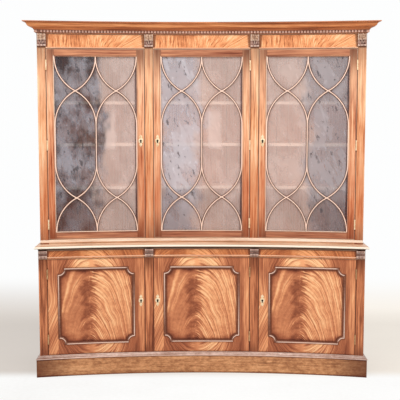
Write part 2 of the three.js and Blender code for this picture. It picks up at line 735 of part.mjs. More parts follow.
// The path of a door's applied moulding: a rectangle with a hollow in each corner
function panelPath(front) {
  const halfWidth = doorHalf(front) - panel.sideMargin - panel.width / 2;
  const halfHeight = (front.doorHigh - front.doorLow) / 2 - panel.endMargin - panel.width / 2;
  const middle = (front.doorLow + front.doorHigh) / 2 + panel.rise;
  const quarter = Array.from({ length: panel.cornerSteps + 1 }, (_, i) => {
    const angle = ((i / panel.cornerSteps) * Math.PI) / 2;
    return [halfWidth - panel.corner * Math.sin(angle), halfHeight - panel.corner * Math.cos(angle)];
  });
  const reach = halfWidth - panel.corner;
  const steps = Math.ceil((2 * reach) / facetLength);
  const rail = Array.from({ length: steps - 1 }, (_, i) => [reach - (2 * reach * (i + 1)) / steps, halfHeight]);
  const upper = [...quarter, ...rail, ...quarter.map(([s, z]) => [-s, z]).reverse()];
  return [...upper, ...upper.map(([s, z]) => [-s, -z])].map(([s, z]) => [s, z + middle]);
}

function panelMouldingPiece(front, bay) {
  const path = panelPath(front);
  const section = panelShares.map(([u, v]) => [u * panel.width, seat + v * (panel.height - seat)]);
  const centre = bayCentre(front, bay);
  const direction = (from, to) => new THREE.Vector2(to[0] - from[0], to[1] - from[1]).normalize();
  const rings = path.map((point, i) => {
    const into = direction(path[(i + path.length - 1) % path.length], point);
    const out = direction(point, path[(i + 1) % path.length]);
    const mitre = new THREE.Vector2(-into.y - out.y, into.x + out.x).normalize();
    mitre.divideScalar(mitre.x * -into.y + mitre.y * into.x);
    return section.map(([across, rise]) => [
      ...front.at(centre + point[0] + across * mitre.x, -rise), point[1] + across * mitre.y,
    ]);
  });
  return loft(rings, section, true);
}

// A door with its lock let in and its hinge knuckles on
function fittedDoor(geometry, front, bay) {
  return withHinges(reshape(geometry, { remove: lockPocket(front, bay) }), front, bay, true);
}

const bookcase = new THREE.Group();

function piece(name, geometry, material, parent = bookcase) {
  const mesh = new THREE.Mesh(geometry, material);
  mesh.name = name;
  parent.add(mesh);
}

function buildBase() {
  piece('plinth', plinthPiece(), mahogany);
  piece('plinth_moulding', plinthMouldingPiece(), trim);
  piece('base_floor', floorPiece(baseFront, baseFloor), mahogany);
  piece('base_back', backPiece(baseFloor, tableLow - clearance), inside);
  piece('base_frieze', friezePiece(
    baseFront, baseFriezeLow, tableLow, baseFrieze, baseBlock, baseBlockShares,
  ), flame);
  piece('table_top', tableTopPiece(), mahogany);
}

function buildUpper() {
  piece('upper_floor', floorPiece(upperFront, tableHigh + clearance), mahogany);
  piece('upper_foot_moulding', footMouldingPiece(), trim);
  piece('upper_back', backPiece(tableHigh + clearance, corniceLow), inside);
  piece('upper_frieze', friezePiece(
    upperFront, upperFriezeLow, corniceLow, upperFrieze, bracket, bracketShares,
  ), flame);
  piece('dust_board', dustBoardPiece(), inside);
  piece('cornice', cornicePiece(), mahogany);
  piece('dentil_course', dentilPiece(), trim);
}

function buildUprights(prefix, front) {
  for (const [name, side] of [['left', -1], ['right', 1]]) {
    piece(`${prefix}_side_${name}`, sidePiece(front, side), mahogany);
    piece(`${prefix}_partition_${name}`, partitionPiece(front, side), mahogany);
  }
}

function buildShelves(prefix, front) {
  const tops = shelfTops(front);
  for (const bay of bays) {
    tops.forEach((top, i) => {
      const level = tops.length > 1 ? `_${i + 1}` : '';
      piece(`${prefix}_shelf_${bay.name}${level}`, shelfPiece(front, bay, top), inside);
    });
  }
}

function buildLock(prefix, front, bay) {
  piece(`${prefix}_lock`, lockPiece(front, bay), brass);
  piece(`${prefix}_bolt`, boltPiece(front, bay), brass);
}

function buildGlassDoor(bay) {
  const name = `glass_door_${bay.name}`;
  const door = new THREE.Group();
  piece(`${name}_frame`, fittedDoor(doorFramePiece(upperFront, bay), upperFront, bay), mahogany, door);
  piece(`${name}_tracery`, traceryPiece(upperFront, bay), trim, door);
  piece(`${name}_glass`, glassPiece(upperFront, bay), pane, door);
  bookcase.add(door);
  buildLock(name, upperFront, bay);
}

function buildPanelDoor(bay) {
  const name = `panel_door_${bay.name}`;
  const door = new THREE.Group();
  piece(`${name}_leaf`, fittedDoor(panelDoorLeaf(baseFront, bay), baseFront, bay), flame, door);
  piece(`${name}_moulding`, panelMouldingPiece(baseFront, bay), trim, door);
  bookcase.add(door);
  buildLock(name, baseFront, bay);
}

buildBase();
buildUprights('base', baseFront);
buildShelves('base', baseFront);
buildUpper();
buildUprights('upper', upperFront);
buildShelves('upper', upperFront);
bays.forEach(buildGlassDoor);
bays.forEach(buildPanelDoor);

export default bookcase;
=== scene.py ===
import math
from fnmatch import fnmatch
from functools import cached_property

import bmesh
import bpy
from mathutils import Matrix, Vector


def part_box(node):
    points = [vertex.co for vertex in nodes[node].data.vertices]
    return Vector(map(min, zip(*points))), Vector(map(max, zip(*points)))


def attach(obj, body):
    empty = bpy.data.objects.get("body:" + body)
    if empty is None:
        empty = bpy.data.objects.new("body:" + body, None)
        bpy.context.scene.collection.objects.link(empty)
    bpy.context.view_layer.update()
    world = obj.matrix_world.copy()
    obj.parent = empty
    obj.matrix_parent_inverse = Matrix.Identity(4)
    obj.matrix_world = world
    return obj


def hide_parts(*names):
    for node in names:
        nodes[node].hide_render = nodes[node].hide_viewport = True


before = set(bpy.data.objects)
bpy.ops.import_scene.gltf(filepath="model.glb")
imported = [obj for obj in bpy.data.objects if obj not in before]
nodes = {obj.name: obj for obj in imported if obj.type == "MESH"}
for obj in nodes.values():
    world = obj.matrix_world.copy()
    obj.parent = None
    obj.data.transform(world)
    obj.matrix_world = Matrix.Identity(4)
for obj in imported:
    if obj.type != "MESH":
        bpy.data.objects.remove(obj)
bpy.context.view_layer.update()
print("frame loaded")

# Plan of the two fronts: s runs along a front, out comes towards the room, metres throughout
plan = {
    "caseWidth": 1.928, "bow": 0.1, "baseDepth": 0.46, "upperSetback": 0.08,
    "pilaster": 0.05, "upright": 0.052, "thickness": 0.022, "doorGap": 0.0015, "leanShare": 0.03,
}
halfCase = plan["caseWidth"] / 2
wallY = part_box("base_back")[1].y
baseRadius = (halfCase ** 2 + plan["bow"] ** 2) / (2 * plan["bow"])
centreY = wallY - plan["baseDepth"] - math.sqrt(baseRadius ** 2 - halfCase ** 2)


class Front:
    def __init__(self, radius):
        self.radius = radius
        self.halfArc = radius * math.asin(halfCase / radius)
        bay = (2 * self.halfArc - 2 * plan["pilaster"] - 2 * plan["upright"]) / 3
        self.bayHalf = bay / 2
        self.bayStep = bay + plan["upright"]
        self.doorHalf = bay / 2 - plan["doorGap"]
        self.lean = bay / 2 / radius + plan["leanShare"]

    def at(self, s, out, z):
        reach = self.radius - out
        return Vector((reach * math.sin(s / self.radius), centreY + reach * math.cos(s / self.radius), z))

    def wrapAt(self, share, out, z):  # share runs from -1 to 1 between the mitred corners
        reach = self.radius - out
        angle = share * math.asin((halfCase + out) / reach)
        return Vector((reach * math.sin(angle), centreY + reach * math.cos(angle), z))


baseFront = Front(baseRadius)
upperFront = Front(baseRadius + plan["upperSetback"])
bays = [("left", -1, -1), ("middle", 0, 1), ("right", 1, 1)]  # name, place, side of the hinges


# Outlines

def bulged(start, end, bulge, steps=8):
    # a shallow arc that stands off its chord by bulge times the chord's length
    start, end = Vector(start), Vector(end)
    across = Vector((end.y - start.y, start.x - end.x)) * bulge * 4
    shares = [i / steps for i in range(steps + 1)]
    return [start.lerp(end, t) + across * t * (1 - t) for t in shares]


def outlineOf(*parts):
    points = []
    for part in parts:
        for point in part if isinstance(part, list) else [part]:
            point = Vector(point)
            if not points or (point - points[-1]).length > 1e-5:
                points.append(point)
    return points


def softened(outline, radius, steps=3, least=25):
    # a closed outline with its sharp corners rounded
    result = []
    for i, point in enumerate(outline):
        here = Vector(point)
        back = Vector(outline[i - 1]) - here
        ahead = Vector(outline[(i + 1) % len(outline)]) - here
        if math.pi - back.angle(ahead) < math.radians(least):
            result.append(here)
            continue
        cut = min(radius, back.length * 0.4, ahead.length * 0.4)
        start, end = here + back.normalized() * cut, here + ahead.normalized() * cut
        for k in range(steps + 1):
            t = k / steps
            result.append(start.lerp(here, t).lerp(here.lerp(end, t), t))
    return result


def supported(outline, reach=0.003):
    # a closed outline with extra points beside its corners, so that wear and painted highlight stay at the arrises
    result = []
    for start, end in zip(outline, outline[1:] + outline[:1]):
        result.append(start)
        length = (end - start).length
        if length > 3 * reach:
            result += [start.lerp(end, reach / length), end.lerp(start, reach / length)]
    return result


def reliefOf(outline, reach=0.0025):
    # how far each point of a closed outline stands proud of its surroundings, or below zero lies in a hollow
    points = [Vector(p) for p in outline]
    count = len(points)
    area = sum(points[i - 1].cross(points[i]) for i in range(count))
    turn = 1 if area > 0 else -1

    def walk(start, step):
        left, here, at = reach, points[start], start
        for _ in range(count):
            at = (at + step) % count
            gap = points[at] - here
            if gap.length >= left:
                return here + gap * (left / gap.length)
            left -= gap.length
            here = points[at]
        return here

    result = []
    for i, point in enumerate(points):
        before, after = walk(i, -1), walk(i, 1)
        side = (point - before).cross(after - point) * turn
        height = (point - (before + after) / 2).length / reach
        result.append(math.copysign(min(height, 1), side))
    return result


def eased(table, place):
    # reads a table of (place, value) with soft curves between its rows
    for (lowPlace, lowValue), (highPlace, highValue) in zip(table, table[1:]):
        if place <= highPlace:
            t = max(0, (place - lowPlace) / (highPlace - lowPlace))
            return lowValue + (highValue - lowValue) * (1 - math.cos(math.pi * t)) / 2
    return table[-1][1]


# Meshes

def sweep(rings, closed=False):
    count = len(rings[0])
    points = [point for ring in rings for point in ring]
    faces = []
    for i in range(len(rings) if closed else len(rings) - 1):
        here, there = i * count, ((i + 1) % len(rings)) * count
        for j in range(count):
            k = (j + 1) % count
            faces.append((here + j, here + k, there + k, there + j))
    if not closed:
        faces.append(tuple(range(count)))
        faces.append(tuple(range(len(points) - 1, len(points) - count - 1, -1)))
    return points, faces


def joined(parts):
    points, faces = [], []
    for somePoints, someFaces in parts:
        start = len(points)
        points += somePoints
        faces += [tuple(start + i for i in face) for face in someFaces]
    return points, faces


def meshOf(name, shape):
    points, faces = shape
    mesh = bpy.data.meshes.new(name)
    mesh.from_pydata([tuple(p) for p in points], [], faces)
    return mesh


def evened(mesh, crease=None):
    # turns the faces outwards, and smooths all edges that are less sharp than the crease
    tidy = bmesh.new()
    tidy.from_mesh(mesh)
    bmesh.ops.recalc_face_normals(tidy, faces=tidy.faces)
    if crease:
        for face in tidy.faces:
            face.smooth = True
        for edge in tidy.edges:
            edge.smooth = len(edge.link_faces) != 2 or edge.calc_face_angle() < math.radians(crease)
    tidy.to_mesh(mesh)
    tidy.free()
    return mesh


def placed(name, data):
    made = bpy.data.objects.new(name, data)
    bpy.context.scene.collection.objects.link(made)
    return made


def solid(name, shape):
    return placed(name, evened(meshOf(name, shape)))


def combined(base, others, operation):
    # the base object's mesh after booleans with the others, all of which are removed
    for other in others:
        step = base.modifiers.new("join", "BOOLEAN")
        step.operation, step.object, step.solver = operation, other, "EXACT"
    bpy.context.view_layer.update()
    mesh = bpy.data.meshes.new_from_object(base.evaluated_get(bpy.context.evaluated_depsgraph_get()))
    for made in [base, *others]:
        bpy.data.objects.remove(made)
    return mesh


def setRelief(mesh, relief):
    attribute = mesh.attributes.new("relief", "FLOAT", "POINT")
    attribute.data.foreach_set("value", relief)


def dress(name, mesh, finish, body, replaced=(), crease=32):
    evened(mesh, crease)
    mesh.materials.append(finish)
    piece = placed(name, mesh)
    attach(piece, body)
    if replaced:
        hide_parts(*replaced)


def makePiece(name, shape, finish, body, replaced=(), relief=None, crease=32, cut=None):
    mesh = meshOf(name, shape)
    if relief:
        setRelief(mesh, relief)
    if cut:
        mesh = combined(placed(name, mesh), [solid("cut", cut)], "DIFFERENCE")
    dress(name, mesh, finish, body, replaced, crease)


# Heights and sizes that finishes and pieces share

def spanOf(node):
    low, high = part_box(node)
    return low.z, high.z


baseDoorLow, baseDoorHigh = spanOf("panel_door_left_leaf")
glassDoorLow, glassDoorHigh = spanOf("glass_door_left_frame")
baseFriezeLow, baseFriezeHigh = spanOf("base_frieze")
upperFriezeLow, upperFriezeHigh = spanOf("upper_frieze")
panel = {"sideMargin": 0.06, "endMargin": 0.057, "rise": 0.003, "corner": 0.038, "width": 0.013}
panelZ = (baseDoorLow + baseDoorHigh) / 2 + panel["rise"]
panelHalf = (
    baseFront.doorHalf - panel["sideMargin"] - panel["width"] / 2,
    (baseDoorHigh - baseDoorLow) / 2 - panel["endMargin"] - panel["width"] / 2,
)
glassDoor = {"stile": 0.045, "sticking": 0.0062, "rebate": 0.009, "rebateDepth": 0.012}
keyhole = {"radius": 0.0062, "half": 0.0042, "foot": 0.0135, "upperRise": 0.022, "baseRise": 0.028}
upperFront.keyholeZ = (glassDoorLow + glassDoorHigh) / 2 + keyhole["upperRise"]
baseFront.keyholeZ = (baseDoorLow + baseDoorHigh) / 2 + keyhole["baseRise"]


# Finishes

def rgb(red, green, blue):  # screen values to scene values
    return tuple(
        (v / 255 / 12.92) if v < 10 else ((v / 255 + 0.055) / 1.055) ** 2.4 for v in (red, green, blue)
    )


def operators(operation):
    # an operator and its reflected form
    return (
        lambda wire, other: wire.graph.maths(operation, wire, other),
        lambda wire, other: wire.graph.maths(operation, other, wire),
    )


class Wire:
    # a node's output, as a value in expressions
    def __init__(self, graph, socket):
        self.graph, self.socket = graph, socket

    def __abs__(self):
        return self.graph.maths("ABSOLUTE", self)

    __add__, __radd__ = operators("ADD")
    __sub__, __rsub__ = operators("SUBTRACT")
    __mul__, __rmul__ = operators("MULTIPLY")
    __truediv__, __rtruediv__ = operators("DIVIDE")
    __pow__, __rpow__ = operators("POWER")


class Graph:
    def __init__(self, tree):
        self.tree = tree
        tree.nodes.clear()

    def node(self, kind, settings=None, inputs=None, output=0):
        made = self.tree.nodes.new(kind)
        for key, value in (settings or {}).items():
            if key == "stops":
                self.setStops(made.color_ramp, value)
            else:
                setattr(made, key, value)
        for key, value in (inputs or {}).items():
            self.feed(made.inputs[key], value)
        return Wire(self, made.outputs[output]) if made.outputs else None

    def setStops(self, ramp, stops):
        while len(ramp.elements) < len(stops):
            ramp.elements.new(1)
        for element, (place, colour) in zip(ramp.elements, stops):
            element.position = place
            element.color = (*colour, 1)

    def feed(self, socket, value):
        if isinstance(value, Wire):
            self.tree.links.new(value.socket, socket)
        elif socket.type == "RGBA" and len(value) == 3:
            socket.default_value = (*value, 1)
        else:
            socket.default_value = value

    def maths(self, operation, *values):
        return self.node("ShaderNodeMath", {"operation": operation}, dict(enumerate(values)))

    def noise(self, x, y, z, detail=3, roughness=0.55):
        place = self.node("ShaderNodeCombineXYZ", None, {0: x, 1: y, 2: z})
        inputs = {"Vector": place, "Scale": 1.0, "Detail": detail, "Roughness": roughness}
        return self.node("ShaderNodeTexNoise", None, inputs)

    def band(self, value, low, high):  # 0 below low, 1 above high, soft between
        inputs = {0: value, 1: low, 2: high, 3: 0.0, 4: 1.0}
        return self.node("ShaderNodeMapRange", {"interpolation_type": "SMOOTHSTEP"}, inputs)

    def below(self, value, low, high):  # 1 below low, 0 above high
        return 1.0 - self.band(value, low, high)

    def between(self, value, low, full, fade, high):
        return self.band(value, low, full) * self.below(value, fade, high)

    def blend(self, first, second, share):
        return self.node("ShaderNodeMix", {"data_type": "RGBA"}, {0: share, 6: first, 7: second}, 2)

    def choose(self, first, second, share):
        return first + (second - first) * share

    def limited(self, value, low=0.0, high=1.0):
        return self.maths("MINIMUM", self.maths("MAXIMUM", value, low), high)

    def highest(self, value, *others):
        for other in others:
            value = self.maths("MAXIMUM", value, other)
        return value

    def length(self, x, y):
        return self.maths("SQRT", x * x + y * y)


polish = {"Roughness": 0.3, "Specular IOR Level": 0.16, "Coat Weight": 0.08, "Coat Roughness": 0.1}
# darkens pores, and is the painted shade in hollows
poreAndShadeDark = rgb(48, 22, 14)
# the colour of painted shade, and of the darker ends of posts and plinth
shadeTone = rgb(88, 36, 18)
jointShade = {"reach": 0.0024, "soft": 0.0014, "depth": (-0.03, -0.026)}
keyholeDark = {"past": 0.0008, "soft": 0.0004, "foot": (-0.0015, -0.001), "head": (0, 0.001)}
grains = {"patch": (2.6, 16, 2), "streak": (3.4, 110, 4), "fine": (16, 420, 2)}  # scale along and across, detail


class Finish(Graph):
    # a material in which s, out and z are the places along a front, and local is s within its bay
    def __init__(self, name, fixed=polish, front=baseFront):
        self.material = bpy.data.materials.new(name)
        self.material.use_nodes = True
        super().__init__(self.material.node_tree)
        self.shader = self.node("ShaderNodeBsdfPrincipled", None, fixed)
        self.node("ShaderNodeOutputMaterial", None, {"Surface": self.shader})
        self.front = front
        place = self.node("ShaderNodeTexCoord", None, None, "Object")
        self.x, self.y, self.z = [self.node("ShaderNodeSeparateXYZ", None, {0: place}, axis) for axis in range(3)]

    @cached_property
    def s(self):
        return self.maths("ARCTAN2", self.x, self.y - centreY) * self.front.radius

    @cached_property
    def out(self):
        return self.front.radius - self.length(self.x, self.y - centreY)

    @cached_property
    def local(self):
        index = self.limited(self.maths("ROUND", self.s / self.front.bayStep), -1, 1)
        return self.s - index * self.front.bayStep

    def surface(self, **inputs):
        sockets = self.shader.socket.node.inputs
        for key, value in inputs.items():
            self.feed(sockets[key.replace("_", " ")], value)
        return self.material

    def toned(self, value, tones):
        count = len(tones) - 1
        stops = [(0.1 + 0.8 * i / count, tone) for i, tone in enumerate(tones)]
        return self.node("ShaderNodeValToRGB", {"stops": stops}, {0: value})

    def grain(self, run, shift=0.0, s=None, out=None):
        # patches, streaks and fine lines that run up or along, each about 0.5
        s = self.s if s is None else s
        out = self.out if out is None else out
        result = []
        for along, across, detail in grains.values():
            wide, high = (across, along) if run == "up" else (along, across)
            result.append(self.noise(s * wide + shift, out * across, self.z * high, detail))
        return result

    def jointLine(self):
        # painted shade: the dark line that a closed door's gap shows beside its frame, on the face alone
        reach = jointShade["reach"]
        near = self.below(abs(abs(self.local) - self.front.bayHalf), reach, reach + jointShade["soft"])
        return near * self.band(self.out, *jointShade["depth"])

    def endShade(self, low, high, reach):
        # 1 at the ends of a height, 0 beyond reach from them
        return 1.0 - self.between(self.z, low, low + reach, high - reach, high)

    def keyholeShade(self):
        # painted shade of the keyhole, on each door's lock side
        front, past, foot = self.front, keyholeDark["past"], keyhole["foot"]
        end = past + keyholeDark["soft"]
        lockSide = 1.0 - 2.0 * self.band(self.s, -front.bayStep * 0.52, -front.bayStep * 0.48)
        across = abs(self.local * lockSide - (front.doorHalf - glassDoor["stile"] / 2))
        up = self.z - front.keyholeZ
        head = self.below(self.length(across, up), keyhole["radius"] + past, keyhole["radius"] + end)
        low, high = keyholeDark["foot"]
        slot = self.below(across, keyhole["half"] + past, keyhole["half"] + end)
        slot = slot * self.between(up, low - foot, high - foot, *keyholeDark["head"])
        return self.highest(head, slot)

    def wood(self, colour, fine, worn=rgb(240, 194, 160), wear=0.5, groove=1.6, shade=None, hole=0.0):
        # darkens pores, paints shade into shaded places and hollows, and lightens proud arrises for wear and painted
        # highlight
        if shade is not None:
            colour = self.blend(colour, shadeTone, self.limited(shade))
        colour = self.blend(colour, poreAndShadeDark, self.band(fine, 0.56, 0.74) * 0.3)
        relief = self.node("ShaderNodeAttribute", {"attribute_name": "relief"}, None, "Fac")
        hollow = self.limited(relief * -groove)
        proud = self.limited(relief * 1.4 - 0.15)
        # painted shade in hollows
        colour = self.blend(colour, poreAndShadeDark, hollow * 0.92)
        # wear and painted highlight on proud places
        colour = self.blend(colour, worn, proud * wear)
        # painted shade of a keyhole
        colour = self.blend(colour, rgb(8, 5, 4), hole)
        bump = self.node("ShaderNodeBump", None, {"Strength": 0.12, "Distance": 0.0004, "Height": fine})
        roughness = fine * 0.14 + 0.24 + hollow * 0.25 + hole * 0.5
        return self.surface(Base_Color=colour, Roughness=roughness, Normal=bump)


def grainValue(grain, middle=0.5, strength=1.0):
    patch, streak, fine = grain
    return middle + ((patch - 0.5) * 1.2 + (streak - 0.5) * 2.1 + (fine - 0.5) * 0.9) * strength


# how the plinth and its cap are darkened: at their outer ends, and with painted shade at the seam between them and
# along the lowest edge
darkPlaces = {"ends": (0.7, 1.04), "seam": (0.098, 0.104, 0.108, 0.111), "seamDepth": 0.7, "foot": (0.0, 0.014)}
creamHeight = (1.986, 2.0)  # the upper carvings are paler above it


def plainWood(
    name, tones, run, front=baseFront, shift=0.0, middle=0.5, strength=1.0, darkening=0.0, cream=None, **choices,
):
    finish = Finish(name, polish, front)
    s, out, z = finish.s, finish.out, finish.z
    lines = finish.grain(run, shift)
    value = grainValue(lines, middle, strength)
    if darkening:
        speck = finish.noise(s * 34, out * 34, z * 60 + shift, 4, 0.7)
        value = value + (speck - 0.5) * 1.3
        # painted shade at the seam and along the foot, and darker outer ends
        seam = finish.between(z, *darkPlaces["seam"]) * darkPlaces["seamDepth"]
        ends = finish.band(abs(s), *darkPlaces["ends"])
        choices["shade"] = (ends + seam + finish.below(z, *darkPlaces["foot"])) * darkening
    colour = finish.toned(value, tones)
    if cream:
        fleck = finish.noise(s * 120, out * 120, z * 120, 3, 0.6)
        paler = finish.toned(value + (fleck - 0.5) * 2.2, cream)
        colour = finish.blend(colour, paler, finish.band(z, *creamHeight))
    return finish.wood(colour, lines[2], **choices)


def heightTinted(finish, colour):
    # the upper stage is paler near its top and a deeper orange towards its foot
    colour = finish.blend(colour, rgb(255, 214, 178), finish.band(finish.z, 1.5, 1.75) * 0.25)
    return finish.blend(colour, rgb(198, 100, 54), finish.below(finish.z, 1.05, 1.5) * 0.45)


def uprightFinish(name, front, low, high, tones, middle, ends, shift):
    # posts and stiles: upright grain, darker towards their ends, a line of painted shade at each door's edge
    finish = Finish(name, polish, front)
    lines = finish.grain("up", shift)
    colour = finish.toned(grainValue(lines, middle), tones)
    if front is upperFront:
        colour = heightTinted(finish, colour)
    shade = finish.endShade(low - 0.02, high, ends["reach"]) * (lines[0] * 1.5) * ends["depth"]
    return finish.wood(colour, lines[2], shade=finish.highest(shade, finish.jointLine() * 0.75))


def corniceFinish(name, low, high):
    # painted light on the crown's hollow and painted shade on its top fillet; the members below keep the plain tones
    finish = Finish(name, polish, upperFront)
    lines = finish.grain("along", 7.0)
    crown = finish.between(finish.z, low + 0.036, low + 0.041, low + 0.05, low + 0.06)
    fillet = finish.band(finish.z, high - 0.0075, high - 0.0065)
    value = grainValue(lines, 0.46, 0.7) + crown * 0.26 - fillet * 0.2
    return finish.wood(finish.toned(value, tones["cornice"]), lines[2], wear=0.25, groove=1.0)


def feathers(finish, u, v, column, falls, seed):
    # crotch figure: (distance from the column, height at which this place's feather leaves it,
    # streaks along the feathers, their fine lines, how far a bright lick reaches here)
    warp = finish.noise(u * 1.5 + seed, v * 1.5, 0.0, 2)
    ripple = finish.noise(u * 4, v * 4, seed, 2)
    du = u - column + (warp - 0.5) * 0.16
    isRight = finish.band(du, -0.04, 0.04)
    fall = finish.choose(*falls, isRight)
    rise = v / (1.0 + du * du * 1.5) + abs(du) ** 1.6 * fall + (ripple - 0.5) * 0.06
    side = isRight * 3.0 + seed
    broad = finish.noise(rise * 6, du * 0.9, side, 2)
    streak = finish.noise(rise * 21, du * 1.6, side, 4, 0.62)
    fine = finish.noise(rise * 60, du * 4, side, 2)
    lines = ((broad - 0.5) * 1.1 + (streak - 0.5) * 2.0 + (fine - 0.5) * 0.9) * finish.band(abs(du), 0.01, 0.12)
    lick = finish.band(du + (broad - 0.5) * 1.0 + (streak - 0.5) * 1.4, 0.06, 0.26)
    return du, rise, lines, fine, lick


def flameFinish(name):
    # the figured veneer of the lower doors: feathers spread from a dark column inside the applied
    # moulding, with cross banded rails over and under it and stiles beside it
    finish = Finish(name, polish, baseFront)
    s, z, local = finish.s, finish.z, finish.local
    u = local / panelHalf[0]
    v = (z - panelZ) / panelHalf[1]
    height = abs(v)
    pastSide, pastEnd = abs(local) - panelHalf[0], abs(z - panelZ) - panelHalf[1]
    notch = panel["corner"] - finish.length(pastSide, pastEnd)
    outside = finish.highest(pastSide, pastEnd, notch)

    du, rise, lines, fine, lick = feathers(finish, u, v, -0.2, (2.3, 1.3), 1.0)
    smudge = finish.noise(u * 2.2, v * 3.4, 5.0, 3, 0.6)
    flecks = finish.noise(s * 60, z * 60, 5.0, 3, 0.6)
    leftStreaks = finish.between(rise, 0.72, 0.86, 0.94, 1.06) + finish.between(rise, 1.14, 1.22, 1.28, 1.44)
    leftStreaks = leftStreaks * finish.below(du, -0.34, -0.1)
    leftStreaks = leftStreaks * finish.band(v + (smudge - 0.5) * 0.6, -0.5, 0.05)
    column = finish.below(abs(du + (smudge - 0.5) * 0.5), 0.06, 0.34) * finish.band(smudge, 0.38, 0.6)
    corner = finish.band(abs(u) + height, 1.3, 1.9) + finish.band(u, 0.72, 1.0) * 0.35
    tip = lick * finish.below(du, 0.1, 0.55)
    # painted shade inside the moulding, deepest near its top and foot
    mouldingShade = finish.band(outside, -0.046, -0.006)
    value = 0.55 + lick * 0.18 + tip * 0.06 + leftStreaks * 0.22 + (smudge - 0.5) * 0.36 + (flecks - 0.5) * 0.24
    value = value + lines * (0.12 + lick * 0.62 + leftStreaks * 0.35) - column * 0.3 - corner * 0.12
    value = value - mouldingShade * (0.1 + height * height * 0.16)

    # rails: short licks, brightest over the middle
    top = finish.band(v, -0.1, 0.1)
    _, _, railLines, railFine, _ = feathers(finish, u, (height - 1.125) * 2.2, -0.12, (1.7, 1.7), 9.0)
    shine = finish.between(u, -0.85, -0.45, 0.35, 0.75) * top
    shine = shine + finish.between(u, -0.45, 0.0, 0.4, 0.85) * (1.0 - top) * 0.8
    railValue = 0.36 + shine * 0.4 + railLines * (0.45 + shine * 0.6)
    rails = finish.band(outside, -0.001, 0.001)
    value = finish.choose(value, railValue, rails)
    fine = finish.choose(fine, railFine, rails)

    # stiles: grain that leans on the left one, lightest halfway up
    isLeft = finish.below(u, -0.1, 0.1)
    slant = local - (z - panelZ) * 0.45 * isLeft * finish.below(v, -0.3, 0.6)
    stileGrain = finish.grain("up", 4.0, slant)
    centre = finish.below(height, 0.25, 1.05)
    stiles = finish.band(abs(u), 1.03, 1.04)
    stileValue = grainValue(stileGrain, 0.4, 0.55) + centre * 0.16 + isLeft * 0.1
    value = finish.choose(value, stileValue, stiles)
    fine = finish.choose(fine, stileGrain[2], stiles)

    # painted shade lies along the moulding, most of all inside it, and in the gap beside the frame; the leaf is
    # darker at its top and foot
    half = panel["width"] / 2
    inner = finish.between(outside, -half - 0.014, -half - 0.001, -half + 0.001, half) * 0.85
    outer = finish.between(outside, -half, half - 0.001, half + 0.0005, half + 0.007) * 0.55
    ends = finish.endShade(baseDoorLow, baseDoorHigh, 0.012) * 0.4
    shade = finish.highest(inner, outer, ends, finish.jointLine() * 0.9)
    return finish.wood(finish.toned(value, tones["flame"]), fine, shade=shade, hole=finish.keyholeShade())


def friezeFinish(name, front, low, high, tones, middle, wedge, headShade, figure=0.0):
    # cross banded veneer: upright streaks that fan out right of the middle, with painted shadow beside the blocks,
    # along the top and along the foot; figure turns them into the feathers of the doors' rails
    finish = Finish(name, polish, front)
    z, local = finish.z, finish.local
    up = (z - low) / (high - low)
    patch = finish.noise(local * 8 + 2.0, up * 0.7, 1.0, 2)
    fan = finish.band(local, -0.1, 0.02)
    bent = local / (1.0 + up * 1.1 * fan) + (patch - 0.5) * 0.03
    broad = finish.noise(bent * 34, up * 0.9, 4.0, 3)
    streak = finish.noise(bent * 170, up * 1.1, 6.0, 4, 0.7)
    fine = finish.noise(bent * 520, up * 5, 8.0, 2)
    value = middle + (patch - 0.5) * 1.1 + (broad - 0.5) * 0.7 + (streak - 0.5) * 2.3 + (fine - 0.5) * 0.6
    if figure:
        u = local / front.bayHalf
        _, _, feather, fine, _ = feathers(finish, u, (z - high) / panelHalf[1] * 2.2, -0.3, (1.6, 1.6), 14.0)
        shine = finish.between(u + (broad - 0.5) * 0.6, -0.5, -0.2, 0.1, 0.5)
        value = finish.choose(value, middle - 0.1 + shine * 0.24 + feather * (0.7 + shine * 0.6), figure)
    reach = front.bayHalf - wedge
    # painted shadow beside the blocks, along the top and along the foot
    corner = finish.band(abs(local) + up * wedge * 0.3, reach + wedge * 0.4, reach + wedge * 0.8)
    corner = corner * (0.5 + broad * 0.5)
    head = finish.band(up, 1.0 - headShade, 1.0 - headShade * 0.6) * 0.92
    shade = finish.highest(corner, head, finish.below(up, 0.0, 0.05))
    return finish.wood(finish.toned(value, tones), fine, rgb(255, 214, 176), wear=0.8, shade=shade)


